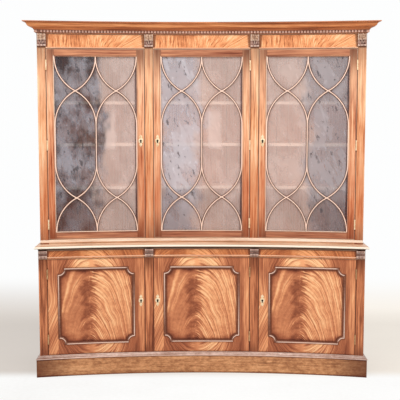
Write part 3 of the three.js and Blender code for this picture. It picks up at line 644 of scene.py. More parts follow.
def doorFrameFinish(name):
    # upright grain in the stiles, level grain in the darker rails between them
    finish = Finish(name, polish, upperFront)
    z, local = finish.z, finish.local
    upGrain = finish.grain("up", 1.0)
    acrossGrain = finish.grain("along", 6.0)
    edge = upperFront.doorHalf - glassDoor["stile"]
    stile = finish.band(abs(local), edge - 0.0005, edge)
    middle = (glassDoorLow + glassDoorHigh) / 2
    # painted sheen: the stiles are lighter a little above their middle
    light = finish.below(abs(z - middle - 0.12), 0.1, 0.5)
    upperHalf = finish.band(z, middle, middle + 0.2)
    stileColour = heightTinted(finish, finish.toned(grainValue(upGrain, 0.48) + light * 0.12, tones["stile"]))
    railColour = finish.toned(grainValue(acrossGrain, 0.5, 0.7) + upperHalf * 0.08, tones["rail"])
    fine = finish.choose(acrossGrain[2], upGrain[2], stile)

    # how far each place lies outside the glazed opening
    opening = finish.highest(abs(local) - edge, abs(z - middle) - (glassDoorHigh - middle - glassDoor["stile"]))
    ends = finish.endShade(glassDoorLow - 0.04, glassDoorHigh + 0.03, 0.26) * stile * upGrain[0] * 1.5
    mitre = finish.between(abs(local) - edge, -0.0026, -0.001, 0.001, 0.0026) * finish.band(opening, 0.007, 0.009)
    # painted shade at the door's top and foot edges, and in the quirk beside the sticking
    gaps = finish.endShade(glassDoorLow, glassDoorHigh, 0.004) * 0.8
    groove = finish.between(opening, 0.0055, 0.0065, 0.0075, 0.009) * 0.5
    shade = finish.highest(ends, mitre * 0.5, finish.jointLine() * 0.75, gaps, groove)
    colour = finish.blend(railColour, stileColour, stile)

    # the sticking round the glass gets a painted highlight, weaker on the right-hand stile and none under the top
    # rail
    underTop = upperHalf * finish.below(abs(local), edge - 0.004, edge)
    facing = 1.0 - finish.band(local, edge - 0.004, edge) * 0.85
    stick = finish.between(opening, 0.0002, 0.001, 0.0026, 0.004) * (1.0 - underTop) * facing * 0.9
    colour = finish.blend(colour, rgb(255, 236, 216), stick)
    hole = finish.keyholeShade()
    return finish.wood(colour, fine, rgb(255, 226, 200), shade=shade * (1.0 - stick), hole=hole)


def brassFinish(name, tones, front=None):
    # a front stands for its doors' locks, which get painted shade behind their keyholes
    metal = 0.7
    finish = Finish(name, {"Metallic": metal}, front)
    x, y, z = finish.x, finish.y, finish.z
    cloud = finish.noise(x * 60, y * 60, z * 60, 4)
    scratch = finish.noise(x * 900, y * 900, z * 240, 2)
    colour = finish.toned(cloud * 1.6 - 0.3, tones)
    roughness = 0.26 + cloud * 0.14 + scratch * 0.06
    if front is None:
        return finish.surface(Base_Color=colour, Roughness=roughness)
    inside = finish.keyholeShade()
    return finish.surface(
        Base_Color=finish.blend(colour, rgb(6, 4, 3), inside),
        Roughness=finish.choose(roughness, 0.9, inside), Metallic=metal - inside * metal,
    )


def glassFinish(name):
    # old glass with painted reflections: some halves of the doors are warm and clear, others cool, pale or dark,
    # all with painted streaks, a painted window glint, and painted shade towards the edges and the foot
    finish = Finish(name, {"Roughness": 0.05, "IOR": 1.5, "Specular IOR Level": 0.5}, upperFront)
    s, z, local = finish.s, finish.z, finish.local
    step = upperFront.bayStep
    paneHalf = upperFront.doorHalf - glassDoor["stile"]
    cloud = finish.noise(s * 4.0 + 3.0, 0.0, z * 3.0, 3, 0.6)
    streakNoise = finish.noise(s * 26 + z * 9, 0.0, z * 11 - s * 9, 4, 0.7)
    ragged = (cloud - 0.5) * 0.34 + (streakNoise - 0.5) * 0.06
    # painted reflections: the left pane dark, some halves cool
    dark = finish.below(s + ragged, -step - 0.02, -step + 0.05)
    left = finish.between(s + ragged, -0.3, -0.22, -0.06, 0.02)
    right = finish.band(s + ragged, step - 0.02, step + 0.05)
    cool = finish.limited(left + right + dark)
    # painted shade towards the foot of the panes
    low = finish.below(z + ragged * 1.4, 0.98, 1.14)
    darkStreak = finish.band(streakNoise, 0.57, 0.64)
    pale = finish.below(streakNoise, 0.36, 0.42)
    stroke = finish.band(finish.noise(s * 10 + z * 5, 0.0, z * 2.4 - s * 4, 3, 0.6), 0.49, 0.54)
    mottle = finish.band(finish.noise(s * 8, 0.0, z * 6, 4, 0.65), 0.36, 0.6)
    # painted shade along the right-hand edge of each pane
    side = finish.band(local, paneHalf - 0.018, paneHalf - 0.006)
    colour = finish.blend(rgb(255, 232, 224), rgb(228, 224, 232), left)
    colour = finish.blend(colour, rgb(196, 188, 192), right)
    colour = finish.blend(colour, finish.blend(rgb(58, 54, 60), rgb(174, 174, 184), mottle), dark)
    edges = finish.limited(low * (cool * 0.3 + 0.2) + side * 0.9)
    colour = finish.blend(colour, rgb(84, 52, 54), edges)
    colour = finish.blend(colour, rgb(62, 56, 62), darkStreak * (cool * 0.6 + 0.2))
    # a painted glint of a window
    paintedGlint = finish.between(local + (streakNoise - 0.5) * 0.04, 0.03, 0.05, 0.1, 0.13)
    paintedGlint = paintedGlint * finish.between(z, 1.34, 1.37, 1.55, 1.62)
    # the share of painted reflection and shade that covers the view through
    paintedVeil = 0.23 + finish.band(cloud, 0.46, 0.6) * 0.06 + dark * 0.1 + left * 0.06 + right * 0.08
    paintedVeil = paintedVeil + stroke * (cool * 0.09 + 0.03) + darkStreak * (cool * 0.24 + 0.05) + pale * (cool * 0.1 + 0.05)
    paintedVeil = paintedVeil + paintedGlint * 0.14 + side * 0.2
    return finish.surface(Base_Color=colour, Alpha=finish.limited(paintedVeil, 0.05, 0.6))


def backFinish(name):
    # boards: pale mahogany towards the shelves, darker and drier towards the wall
    finish = Finish(name)
    lines = finish.grain("up", 9.0, finish.x, 0.0)
    board = finish.noise(finish.maths("FLOOR", finish.x * 6.2) * 3.7, 0.0, 2.0, 0)
    value = grainValue(lines, 0.52, 0.9) + (board - 0.5) * 0.4
    rear = finish.band(finish.y, wallY - 0.005, wallY - 0.003)
    colour = finish.blend(finish.toned(value, tones["inside"]), finish.toned(value, tones["rear"]), rear)
    return finish.wood(colour, lines[2])


def shelfFinish(name):
    # shelves, with a highlight painted along their front edges
    finish = Finish(name, polish, upperFront)
    corners = [p.co for p in nodes["upper_shelf_middle_1"].data.vertices]
    edge = max(upperFront.radius - math.hypot(p.x, p.y - centreY) for p in corners)
    lines = finish.grain("along", 6.0)
    colour = finish.toned(grainValue(lines, 0.6), tones["inside"])
    colour = finish.blend(colour, rgb(255, 222, 202), finish.band(finish.out, edge - 0.002, edge - 0.001))
    return finish.wood(colour, lines[2])


print("making finishes")
tones = {
    "base": [rgb(112, 56, 34), rgb(156, 88, 56), rgb(188, 114, 76), rgb(214, 136, 92), rgb(238, 162, 114)],
    "upper": [rgb(158, 80, 46), rgb(206, 128, 84), rgb(232, 162, 116), rgb(248, 186, 140), rgb(255, 212, 170)],
    "stile": [rgb(142, 70, 44), rgb(192, 112, 76), rgb(222, 152, 112), rgb(244, 178, 136), rgb(255, 206, 166)],
    "rail": [rgb(104, 50, 34), rgb(142, 80, 56), rgb(170, 108, 80), rgb(196, 132, 98), rgb(222, 156, 116)],
    "flame": [
        rgb(94, 42, 26), rgb(138, 74, 48), rgb(174, 102, 68),
        rgb(208, 134, 92), rgb(240, 166, 116), rgb(255, 204, 152),
    ],
    "baseFrieze": [rgb(98, 44, 24), rgb(142, 74, 44), rgb(186, 108, 64), rgb(216, 136, 84), rgb(250, 176, 120)],
    "upperFrieze": [rgb(150, 80, 46), rgb(196, 120, 76), rgb(228, 150, 100), rgb(250, 178, 124), rgb(255, 208, 160)],
    "cornice": [rgb(120, 58, 32), rgb(166, 92, 54), rgb(198, 118, 72), rgb(224, 142, 88), rgb(250, 174, 116)],
    # painted light: raised tones make up for the plinth lying low and far from the lamps
    "plinth": [rgb(134, 84, 54), rgb(176, 120, 80), rgb(210, 152, 106), rgb(236, 180, 132)],
    "table": [rgb(184, 134, 100), rgb(222, 172, 136), rgb(244, 204, 170), rgb(255, 224, 196)],
    "foot": [rgb(214, 174, 144), rgb(242, 208, 180), rgb(255, 228, 204), rgb(255, 238, 220)],
    "trim": [rgb(84, 46, 32), rgb(114, 68, 50), rgb(140, 90, 68), rgb(164, 110, 86)],
    # painted sheen: pale tones stand in for the light that the cap's upper face reflects
    "cap": [rgb(164, 126, 110), rgb(200, 164, 148), rgb(226, 194, 180), rgb(244, 218, 206)],
    "carving": [rgb(88, 58, 48), rgb(130, 94, 82), rgb(166, 128, 114), rgb(196, 158, 144)],
    "cream": [rgb(112, 74, 56), rgb(156, 118, 94), rgb(192, 156, 130), rgb(222, 190, 162)],
    "dentil": [rgb(130, 80, 58), rgb(172, 120, 98), rgb(206, 154, 132), rgb(230, 182, 162)],
    # painted light: pale tones make up for the light that the inside of the case lacks
    "inside": [rgb(206, 136, 106), rgb(246, 186, 156), rgb(255, 214, 188), rgb(255, 232, 214)],
    "rear": [rgb(104, 62, 40), rgb(140, 90, 60), rgb(170, 116, 80), rgb(192, 138, 98)],
    "bar": [rgb(92, 44, 26), rgb(132, 72, 46), rgb(164, 98, 68), rgb(192, 124, 92)],
    "bead": [rgb(180, 110, 74), rgb(220, 152, 112), rgb(244, 184, 144), rgb(255, 210, 174)],
    "brass": [rgb(220, 184, 136), rgb(244, 216, 176), rgb(255, 238, 210)],
    "dullBrass": [rgb(150, 108, 72), rgb(186, 146, 104), rgb(216, 184, 142)],
}
upperEnds, baseEnds = {"reach": 0.18, "depth": 0.62}, {"reach": 0.12, "depth": 0.9}
finishes = {
    "baseUpright": uprightFinish(
        "base_post_veneer", baseFront, baseDoorLow, baseDoorHigh, tones["base"], 0.5, baseEnds, 0.0,
    ),
    "upperUpright": uprightFinish(
        "upper_post_veneer", upperFront, glassDoorLow, glassDoorHigh, tones["upper"], 0.56, upperEnds, 3.0,
    ),
    "cornice": corniceFinish("cornice_mahogany", *spanOf("cornice")),
    "plinth": plainWood("plinth_mahogany", tones["plinth"], "along", shift=11.0, strength=0.4, darkening=0.85, wear=0.3),
    "table": plainWood("table_mahogany", tones["table"], "along", shift=5.0, worn=rgb(255, 246, 228), wear=0.95),
    "foot": plainWood(
        "foot_moulding_mahogany", tones["foot"], "along", upperFront, worn=rgb(255, 240, 220), groove=0.5,
    ),
    "trim": plainWood(
        "moulding_mahogany", tones["trim"], "along", shift=2.0, strength=0.4,
        worn=rgb(240, 206, 188), wear=0.9, groove=2.0,
    ),
    "cap": plainWood(
        "cap_mahogany", tones["cap"], "along", shift=2.0, strength=0.6, darkening=0.42, worn=rgb(250, 222, 208), wear=0.8,
    ),
    "carving": plainWood(
        "carving_mahogany", tones["carving"], "up", shift=4.0, strength=0.5, cream=tones["cream"],
        worn=rgb(240, 214, 198), wear=0.9, groove=1.8,
    ),
    "dentil": plainWood(
        "dentil_mahogany", tones["dentil"], "up", upperFront, 4.0, strength=0.5,
        worn=rgb(240, 204, 186), wear=0.7,
    ),
    "bead": plainWood("bead_mahogany", tones["bead"], "along", strength=0.6, worn=rgb(255, 224, 196), wear=0.7),
    "back": backFinish("back_board_mahogany"),
    "dust": plainWood("dust_board_mahogany", tones["rear"], "along", shift=9.0, strength=0.7),
    "shelf": shelfFinish("shelf_mahogany"),
    "bar": plainWood(
        "bar_mahogany", tones["bar"], "up", upperFront, 8.0, strength=0.7, worn=rgb(252, 220, 202), wear=0.95,
    ),
    "flame": flameFinish("flame_veneer_doors"),
    "baseFrieze": friezeFinish(
        "base_frieze_veneer", baseFront, baseFriezeLow, baseFriezeHigh, tones["baseFrieze"],
        middle=0.62, wedge=0.02, headShade=0.16, figure=0.85,
    ),
    "upperFrieze": friezeFinish(
        "upper_frieze_veneer", upperFront, upperFriezeLow, upperFriezeHigh, tones["upperFrieze"],
        middle=0.56, wedge=0.028, headShade=0.07,
    ),
    "doorFrame": doorFrameFinish("glazed_door_veneer"),
    "brass": brassFinish("brass_fittings", tones["brass"]),
    "dullBrass": brassFinish("dull_brass_hinges", tones["dullBrass"]),
    "upperLock": brassFinish("upper_lock_brass", tones["brass"], upperFront),
    "baseLock": brassFinish("base_lock_brass", tones["brass"], baseFront),
    "glass": glassFinish("old_glass"),
}


# Mouldings that follow the fronts

def wrapPath(front, out, z, stations=72):
    # level, from the wall round both mitred corners and back to the wall
    curve = [front.wrapAt(2 * i / stations - 1, out, z) for i in range(stations + 1)]
    return [Vector((-halfCase - out, wallY, z)), *curve, Vector((halfCase + out, wallY, z))]


def wrapRings(front, section, stations=72):
    return list(zip(*(wrapPath(front, out, z, stations) for out, z in section)))


def frontRings(front, section, start, end, stations=72):
    places = [start + (end - start) * i / stations for i in range(stations + 1)]
    return [[front.at(s, out, z) for out, z in section] for s in places]


def mouldingPiece(name, rings, section, finish, replaced=()):
    makePiece(name, sweep(rings), finish, "carcase", replaced, reliefOf(section) * len(rings))


def profile(low, *parts):
    # an outline from points and arcs that are given in millimetres over a height
    raised = []
    for part in parts:
        points = part if isinstance(part, list) else [part]
        raised.append([Vector((out / 1000, low + z / 1000)) for out, z in points])
    return outlineOf(*raised)


print("building plinth and mouldings")
plinth = {"projection": 0.018, "thickness": 0.022, "arris": 0.0015}
plinthTop = spanOf("plinth")[1]


def plinthBoard(near, far):
    return supported(softened([(near, 0), (far, 0), (far, plinthTop), (near, plinthTop)], plinth["arris"]))


def closedPlinth():
    # front and sides as one mitred run, and the rear rail between the sides
    inner = plinth["projection"] - plinth["thickness"]
    front, rear = plinthBoard(inner, plinth["projection"]), plinthBoard(wallY - plinth["thickness"], wallY)
    rings = wrapRings(baseFront, front)
    reach = halfCase + inner + 0.001
    rail = [[Vector((x, y, z)) for y, z in rear] for x in (-reach, reach)]
    return joined([sweep(rings), sweep(rail)]), reliefOf(front) * len(rings) + reliefOf(rear) * 2


shape, relief = closedPlinth()
makePiece("plinth_frame", shape, finishes["plinth"], "carcase", ["plinth"], relief)

capSection = softened(profile(
    spanOf("plinth_moulding")[0],
    (0.3, 0), (20.5, 0), (22, 1.2), (22, 3.2), (20.6, 4.4),
    bulged((19.8, 4.6), (6, 16), -0.13),
    (4.6, 16.4), (4.2, 19.4), (3.4, 20), (0.3, 20),
), 0.0006, 2)
mouldingPiece(
    "plinth_cap_moulding", wrapRings(baseFront, capSection), capSection, finishes["cap"],
    ["plinth_moulding"],
)

tableLow = spanOf("table_top")[0]


def tableShape():
    # one slab: rings of the case outline, growing and shrinking with the moulded edge
    edge = profile(
        tableLow,
        bulged((0.6, 0), (6.4, 9.6), -0.16),
        (7.6, 10.2), (16.4, 10.6),
        bulged((16.8, 10.8), (17.2, 23.2), 0.36, 12),
        (16.4, 23.3), (15.2, 22.2), (14.2, 23.6), (13.2, 24),
    )
    rings = [wrapPath(baseFront, out, z) for out, z in edge]
    relief = []
    for out, z in edge:
        # painted highlight on the upper nose and painted shade in the hollow under it
        worn = out > 0.0165 and z > tableLow + 0.0125
        hollow = z < tableLow + 0.0115
        relief += [1.0 if worn else -1.0 if hollow else 0.15] * len(rings[0])
    return sweep(rings), relief


shape, relief = tableShape()
makePiece("table_slab", shape, finishes["table"], "carcase", ["table_top"], relief)

footSection = softened(profile(
    spanOf("upper_foot_moulding")[0],
    (0.3, 0), (7.4, 0),
    bulged((7.8, 0.2), (7.8, 6.4), 0.22), bulged((7, 7), (3.4, 12.6), -0.14),
    (3, 13), (3, 16), (0.3, 16),
), 0.0005, 2)
mouldingPiece(
    "upper_case_foot_moulding", frontRings(upperFront, footSection, -upperFront.halfArc, upperFront.halfArc),
    footSection, finishes["foot"], ["upper_foot_moulding"],
)

corniceHeight = 0.068
corniceSection = softened(profile(
    spanOf("cornice")[1] - corniceHeight,
    (-20, 0.3), (0, 0.3), (4, 0.6),
    bulged((4.4, 0.8), (4.4, 3.6), 0.3),
    (4, 4), (4, 19.2), (13.6, 19.8),
    bulged((14.4, 20.4), (33, 34.4), -0.16),
    (33.6, 35.2), (38, 35.4), (38.6, 37.6),
    bulged((40.4, 38.4), (48.6, 50.4), 0.1), bulged((48.6, 50.4), (61.6, 60.4), -0.1),
    (62.4, 61.4), (67.4, 62), (68, 62.6), (68, 67.2), (67.2, 68), (-20, 68),
), 0.0006, 2)
mouldingPiece(
    "cornice_moulding", wrapRings(upperFront, corniceSection, 80), corniceSection, finishes["cornice"],
    ["cornice"],
)

print("building dentils")
dentil = {"pitch": 0.0185, "width": 0.0098, "back": 0.0043, "web": 0.007, "projection": 0.013, "soft": 0.0012}


def dentilShape():
    low, high = spanOf("dentil_course")
    half, web, projection = dentil["width"] / 2, dentil["web"], dentil["projection"]
    front = upperFront
    parts, reliefs = [], []

    def tooth(outline, at):
        # level outlines of a tooth, closed in a little at head and foot
        middle = sum(a for a, _ in outline) / len(outline)
        levels = [(low, 0.0011), (low + 0.0004, 0.0004), (low + 0.0012, 0)]
        levels += [(low + high - z, inset) for z, inset in reversed(levels)]
        rings = []
        for z, inset in levels:
            rings.append([
                at(a - math.copysign(inset, a - middle), out - inset * (out > 0.009), z) for a, out in outline
            ])
        parts.append(sweep(rings))
        # painted highlight on the teeth's faces, painted shade on their sides
        reliefs.extend([0.6 if out > 0.0085 else -0.3 for _, out in outline] * len(rings))

    root = web - 0.001
    plain = softened([(-half, root), (-half, projection), (half, projection), (half, root)], dentil["soft"])
    s = 0
    while s < front.halfArc - dentil["pitch"]:
        for side in (-1, 1) if s else (1,):
            tooth(plain, lambda a, out, z, s=side * s: front.at(s + a, out, z))
        s += dentil["pitch"]
    cornerY = front.at(front.halfArc, 0, 0).y
    ahead = cornerY - projection * 0.9
    corner = softened([
        (halfCase - half, cornerY - web + 0.001), (halfCase - half, ahead), (halfCase + projection, ahead),
        (halfCase + projection, cornerY + half), (halfCase + web - 0.001, cornerY + half),
    ], dentil["soft"])
    for side in (-1, 1):
        rings = [[Vector((side * x, y, z)) for x, y in corner] for z in (low, low + 0.0006, high - 0.0006, high)]
        parts.append(sweep(rings))
        # painted highlight on the corner blocks
        reliefs.extend([0.5] * (len(corner) * 4))
        y = cornerY + dentil["pitch"]
        while y + half < wallY:
            tooth(plain, lambda a, out, z, side=side, y=y: Vector((side * (halfCase + out), y + a, z)))
            y += dentil["pitch"]
    back = dentil["back"]
    rings = wrapRings(front, [(back, low), (web, low), (web, high), (back, high)], 64)
    parts.append(sweep(rings))
    # painted shade on the web between the teeth
    reliefs.extend([-0.25] * (4 * len(rings)))
    return joined(parts), reliefs


shape, relief = dentilShape()
makePiece("dentil_teeth", shape, finishes["dentil"], "carcase", ["dentil_course"], relief)

print("building friezes and carved blocks")
blocks = {
    "base": {
        "front": baseFront, "rise": 0.004, "width": 0.051, "projection": 0.014, "bead": (0.0065, 0.0075, 0.005),
    },
    "upper": {
        "front": upperFront, "rise": 0.0095, "width": 0.052, "projection": 0.014, "bead": (0.001, 0.007, 0.005),
    },
}


def friezeBoard(kind, low, high, finish):
    front = blocks[kind]["front"]
    inner = -plan["thickness"]
    section = supported(softened([(inner, low), (0, low), (0, high), (inner, high)], 0.0006, 2))
    rings = frontRings(front, section, -front.halfArc, front.halfArc)
    mouldingPiece(f"{kind}_frieze_board", rings, section, finish, [f"{kind}_frieze"])
    rise, height, projection = blocks[kind]["bead"]
    foot = low + rise
    bulge = projection * 0.82 / (height * 0.84)
    bead = outlineOf(
        (-0.001, foot), (0.0006, foot + 0.0001),
        bulged((0.001, foot + height * 0.08), (0.001, foot + height * 0.92), bulge, 12),
        (0.0006, foot + height), (-0.001, foot + height),
    )
    for name, place, _ in bays:
        edge = front.bayHalf + plan["upright"] / 2 - blocks[kind]["width"] / 2
        rings = frontRings(front, bead, place * front.bayStep - edge, place * front.bayStep + edge, 24)
        mouldingPiece(f"{kind}_frieze_bead_{name}", rings, bead, finishes["bead"])


def lobes(a, count):
    return math.sqrt(abs(math.sin(math.pi * count * (a + 1) / 2)))


def upperCarving(a, w):
    # two hanging lobes over a leaf whose ribs spread from its foot, and a row of buds below it
    head = eased([(0.46, 0), (0.56, 1), (1, 1)], w)
    foot = eased([(0.16, 1), (0.22, 0), (1, 0)], w)
    lobe = 0.8 + 0.16 * lobes(a, 2) * (1.3 - 0.5 * w) + 0.03 * math.cos(9 * math.pi * a) * (1 - w)
    spread = math.atan2(a * 0.7, w - 0.08)
    leaf = 0.54 + 0.09 * math.cos(7 * spread + 0.8) + 0.07 * math.cos(13 * w + 2 * a)
    bud = 0.62 + 0.2 * lobes(a, 3) * math.sin(math.pi * min(1, w / 0.18))
    return head * lobe + foot * bud + (1 - head - foot) * leaf


def baseCarving(a, w):
    # a roll at the head and one at the foot, each cut into lobes, with a hollow between them
    body = eased([
        (0, 0.4), (0.1, 0.74), (0.2, 0.86), (0.3, 0.7), (0.4, 0.16),
        (0.6, 0.16), (0.72, 0.84), (0.86, 1.0), (1, 0.84),
    ], w)
    if w < 0.4:
        return body * (0.84 + 0.16 * lobes(a, 3))
    if w > 0.66:
        return body * (0.86 + 0.14 * lobes(a, 2))
    return body


chisel = {"across": 46, "up": 64, "back": -0.011, "compare": 3, "wear": 380}


def carvedBlock(name, kind, place, low, high, carving):
    # a grid of heights; each point's relief is how far it stands out from those a few steps away
    spec = blocks[kind]
    front, half = spec["front"], spec["width"] / 2
    across, up, apart = chisel["across"], chisel["up"], chisel["compare"]
    columns = [2 * i / across - 1 for i in range(across + 1)]
    heights = []
    for j in range(up + 1):
        w = j / up
        rim = min(1, 14 * w, 14 * (1 - w))
        heights.append([
            spec["projection"] * carving(a, w) * (0.8 + 0.2 * rim) * (1 - 0.25 * max(0, abs(a) - 0.9) / 0.1)
            for a in columns
        ])
    rings, relief = [], []
    for j, row in enumerate(heights):
        z = low + (high - low) * j / up
        ring = [front.at(place + a * half, out, z) for a, out in zip(columns, row)]
        ring += [front.at(place + side, chisel["back"], z) for side in (half, -half)]
        rings.append(ring)
        rowsAround = max(j - apart, 0), min(j + apart, up)
        for i, out in enumerate(row):
            columnsAround = max(i - apart, 0), min(i + apart, across)
            around = [heights[k][m] for k in rowsAround for m in columnsAround]
            # relief paints highlight on what stands out and shade in the hollows
            relief.append(max(-1, min(1, (out - sum(around) / 4) * chisel["wear"])))
        relief += [0, 0]
    makePiece(name, sweep(rings), finishes["carving"], "carcase", relief=relief, crease=60)


friezeBoard("base", baseFriezeLow, baseFriezeHigh, finishes["baseFrieze"])
friezeBoard("upper", upperFriezeLow, upperFriezeHigh, finishes["upperFrieze"])
for kind, low, high, carving in [
    ("base", baseFriezeLow, baseFriezeHigh, baseCarving), ("upper", upperFriezeLow, upperFriezeHigh, upperCarving),
]:
    front = blocks[kind]["front"]
    outer = front.halfArc - blocks[kind]["width"] / 2 - 0.0003
    for number, place in enumerate([-outer, -front.bayStep / 2, front.bayStep / 2, outer], 1):
        carvedBlock(f"{kind}_carved_block_{number}", kind, place, low + blocks[kind]["rise"], high, carving)

# Hinges: the outer knuckles belong to the carcase, the middle one to the door
hinge = {
    "height": 0.064, "knuckle": 0.0047, "soft": 0.0005, "tip": 0.0018, "play": 0.0002, "fixedShare": 0.32,
    "proud": 0.0025, "pocket": 0.0056, "pocketPast": 0.0026,
    "upperInsets": (0.09, 0.095), "baseInsets": (0.096, 0.087),
}
hingeHalf = hinge["height"] / 2
hingeSplit = hingeHalf - hinge["height"] * hinge["fixedShare"]  # from a hinge's middle to its moving knuckle's ends


def hingeHeights(front):
    if front is upperFront:
        low, high = glassDoorLow + hinge["upperInsets"][0], glassDoorHigh - hinge["upperInsets"][1]
        return [low, (low + high) / 2, high]
    return [baseDoorLow + hinge["baseInsets"][0], baseDoorHigh - hinge["baseInsets"][1]]


def turned(axis, outline, sides=20):
    angles = [2 * math.pi * k / sides for k in range(sides)]
    rings = [[axis + Vector((r * math.cos(t), r * math.sin(t), z)) for t in angles] for r, z in outline]
    return sweep(rings)


def barrel(axis, low, high):
    r, soft = hinge["knuckle"], hinge["soft"]
    return turned(axis, [(r - soft, low), (r, low + soft), (r, high - soft), (r - soft, high)])


def hingePieces(prefix, front, bay, body):
    name, place, side = bay
    s = place * front.bayStep + side * (front.bayHalf - plan["doorGap"] / 2)
    axis = front.at(s, hinge["proud"], 0)
    end, near = hingeHalf - hinge["tip"], hingeSplit + hinge["play"]
    finish = finishes["brass" if front is upperFront else "dullBrass"]
    for number, z in enumerate(hingeHeights(front), 1):
        tip = [(0.0014, z + hingeHalf), (0.0032, z + hingeHalf - 0.0006), (0.0036, z + end)]
        fixed = joined([
            barrel(axis, z - end, z - near), barrel(axis, z + near, z + end),
            turned(axis, tip), turned(axis, [(r, 2 * z - h) for r, h in tip]),
        ])
        moving = barrel(axis, z - hingeSplit, z + hingeSplit)
        makePiece(f"{prefix}_{name}_hinge_{number}_fixed", fixed, finish, "carcase")
        makePiece(f"{prefix}_{name}_hinge_{number}_moving", moving, finish, body)


# Doors

doorArris = 0.0012


def cornerPoints(notched, steps=6):
    # (inward, depth) from a door's edge round its front corner to its face
    if notched:
        gap, proud, reach = plan["doorGap"] / 2, hinge["proud"], hinge["pocket"]
        first, last = math.asin(gap / reach), math.acos(proud / reach)
        angles = [first + (last - first) * i / steps for i in range(steps + 1)]
        return [(reach * math.sin(t) - gap, reach * math.cos(t) - proud) for t in angles]
    turns = [math.pi / 2 * i / steps for i in range(steps + 1)]
    return [(doorArris * (1 - math.cos(t)), doorArris * (1 - math.sin(t))) for t in turns]


def notchSpans(front):
    # heights between which the door's corner is hollowed round the fixed knuckles
    spans = []
    for z in hingeHeights(front):
        far = hingeHalf + hinge["pocketPast"]
        spans += [(z - far, z - hingeSplit), (z + hingeSplit, z + far)]
    return spans


def doorFrameShape(bay):
    _, place, side = bay
    front, thick, stile = upperFront, plan["thickness"], glassDoor["stile"]
    start = stile - glassDoor["sticking"]

    def section(notched):
        bead = bulged((start + 0.0006, 0.0012), (stile, 0.0064), 0.26, 8)
        face = [(hinge["pocket"] + 0.001, 0), (start - 0.0035, 0), (start - 0.0006, 0), (start, 0.0006)]
        rebateEdge, rebateDepth = stile - glassDoor["rebate"], glassDoor["rebateDepth"]
        return [
            (0, thick), *cornerPoints(notched), *face, *[tuple(p) for p in bead],
            (stile, rebateDepth), (rebateEdge, rebateDepth), (rebateEdge, thick),
        ]

    def edgeAt(inward, depth):
        return front.doorHalf - inward - front.lean * depth * (1 - inward / stile)

    def stileRing(across, z, notched):
        return [
            front.at(place * front.bayStep + across * edgeAt(inward, depth), -depth, z)
            for inward, depth in section(notched)
        ]

    rings, steps = [], 26
    for end in (-1, 1):
        for i in range(steps + 1):
            share = -end * (2 * i / steps - 1)
            ring = []
            for inward, depth in section(False):
                reach = edgeAt(inward, depth) if abs(share) == 1 else front.doorHalf - stile
                z = glassDoorLow + inward if end < 0 else glassDoorHigh - inward
                ring.append(front.at(place * front.bayStep + share * reach, -depth, z))
            rings.append(ring)
        across = -end  # the stile that follows this rail
        if across == side:
            spans = notchSpans(front)
            for first, last in spans if end < 0 else [(high, low) for low, high in reversed(spans)]:
                rings += [stileRing(across, first, False), stileRing(across, first, True)]
                rings += [stileRing(across, last, True), stileRing(across, last, False)]
    relief = reliefOf([Vector(p) for p in section(False)]) * len(rings)
    return sweep(rings, closed=True), relief


tracery = {
    "width": 0.013, "rise": 0.402, "steps": 18, "sink": 0.0045, "clear": 0.0003,
    "nose": 0.0036, "noseDepth": 0.0046, "neck": (0.0034, 0.0076), "shoulder": 0.0092, "back": 0.0117,
}


def ogee(start, end):
    # an S of two equal arcs, upright at both ends
    run, drop = end[0] - start[0], end[1] - start[1]
    turn = 2 * math.atan(abs(run / drop))
    radius = abs(drop) / 2 / math.sin(turn)
    count, points = tracery["steps"], []
    for i in range(2 * count + 1):
        angle = turn * min(i, 2 * count - i) / count
        ds = math.copysign(radius * (1 - math.cos(angle)), run)
        dz = math.copysign(radius * math.sin(angle), drop)
        points.append((start[0] + ds, start[1] + dz) if i <= count else (end[0] - ds, end[1] - dz))
    return points


def traceryBar(path):
    # an astragal: a round nose on a narrow stem, (across, depth)
    half, radius, middle = tracery["width"] / 2, tracery["nose"], tracery["noseDepth"]
    turns = [math.pi * i / 10 for i in range(11)]
    nose = [(radius * math.cos(t), middle - radius * math.sin(t)) for t in turns]
    stem = [(half, tracery["back"]), (half, tracery["shoulder"]), tracery["neck"]]
    section = [*stem, *nose, *[(-across, depth) for across, depth in reversed(stem)]]
    rings = []
    for i, (s, z) in enumerate(path):
        if 0 < i < len(path) - 1:
            along = Vector((path[i + 1][0] - path[i - 1][0], path[i + 1][1] - path[i - 1][1])).normalized()
        else:
            along = Vector((0, -1))
        rings.append([Vector((s - across * along.y, depth, z + across * along.x)) for across, depth in section])
    return sweep(rings)


def traceryMesh():
    reach = upperFront.doorHalf - glassDoor["stile"] - tracery["width"] / 2 + tracery["sink"]
    inset = glassDoor["stile"] + tracery["clear"]
    low, high = glassDoorLow + inset, glassDoorHigh - inset
    turnHigh, turnLow = high - tracery["rise"], low + tracery["rise"]

    def bar(start, turn):
        return traceryBar(ogee((start, high), (turn, turnHigh)) + ogee((turn, turnLow), (start, low)))

    bars = [bar(-reach, 0), bar(reach, 0), bar(0, -reach), bar(0, reach)]
    made = [solid(f"bar{i}", shape) for i, shape in enumerate(bars)]
    return combined(made[0], made[1:], "UNION")


print("joining the tracery")
flatTracery = traceryMesh()


def traceryPiece(bay, body):
    name, place, _ = bay
    mesh = flatTracery.copy()
    relief = []
    for vertex in mesh.vertices:
        s, depth, z = vertex.co
        # painted highlight on each bar's nose, painted shade on its flanks
        relief.append(1.0 if depth < 0.0032 else 0.2 if depth < 0.0044 else -0.4 if depth < 0.008 else -0.6)
        vertex.co = upperFront.at(place * upperFront.bayStep + s, -depth, z)
    setRelief(mesh, relief)
    replaced = [f"glass_door_{name}_tracery"]
    dress(f"glazed_door_{name}_tracery_bars", mesh, finishes["bar"], body, replaced)


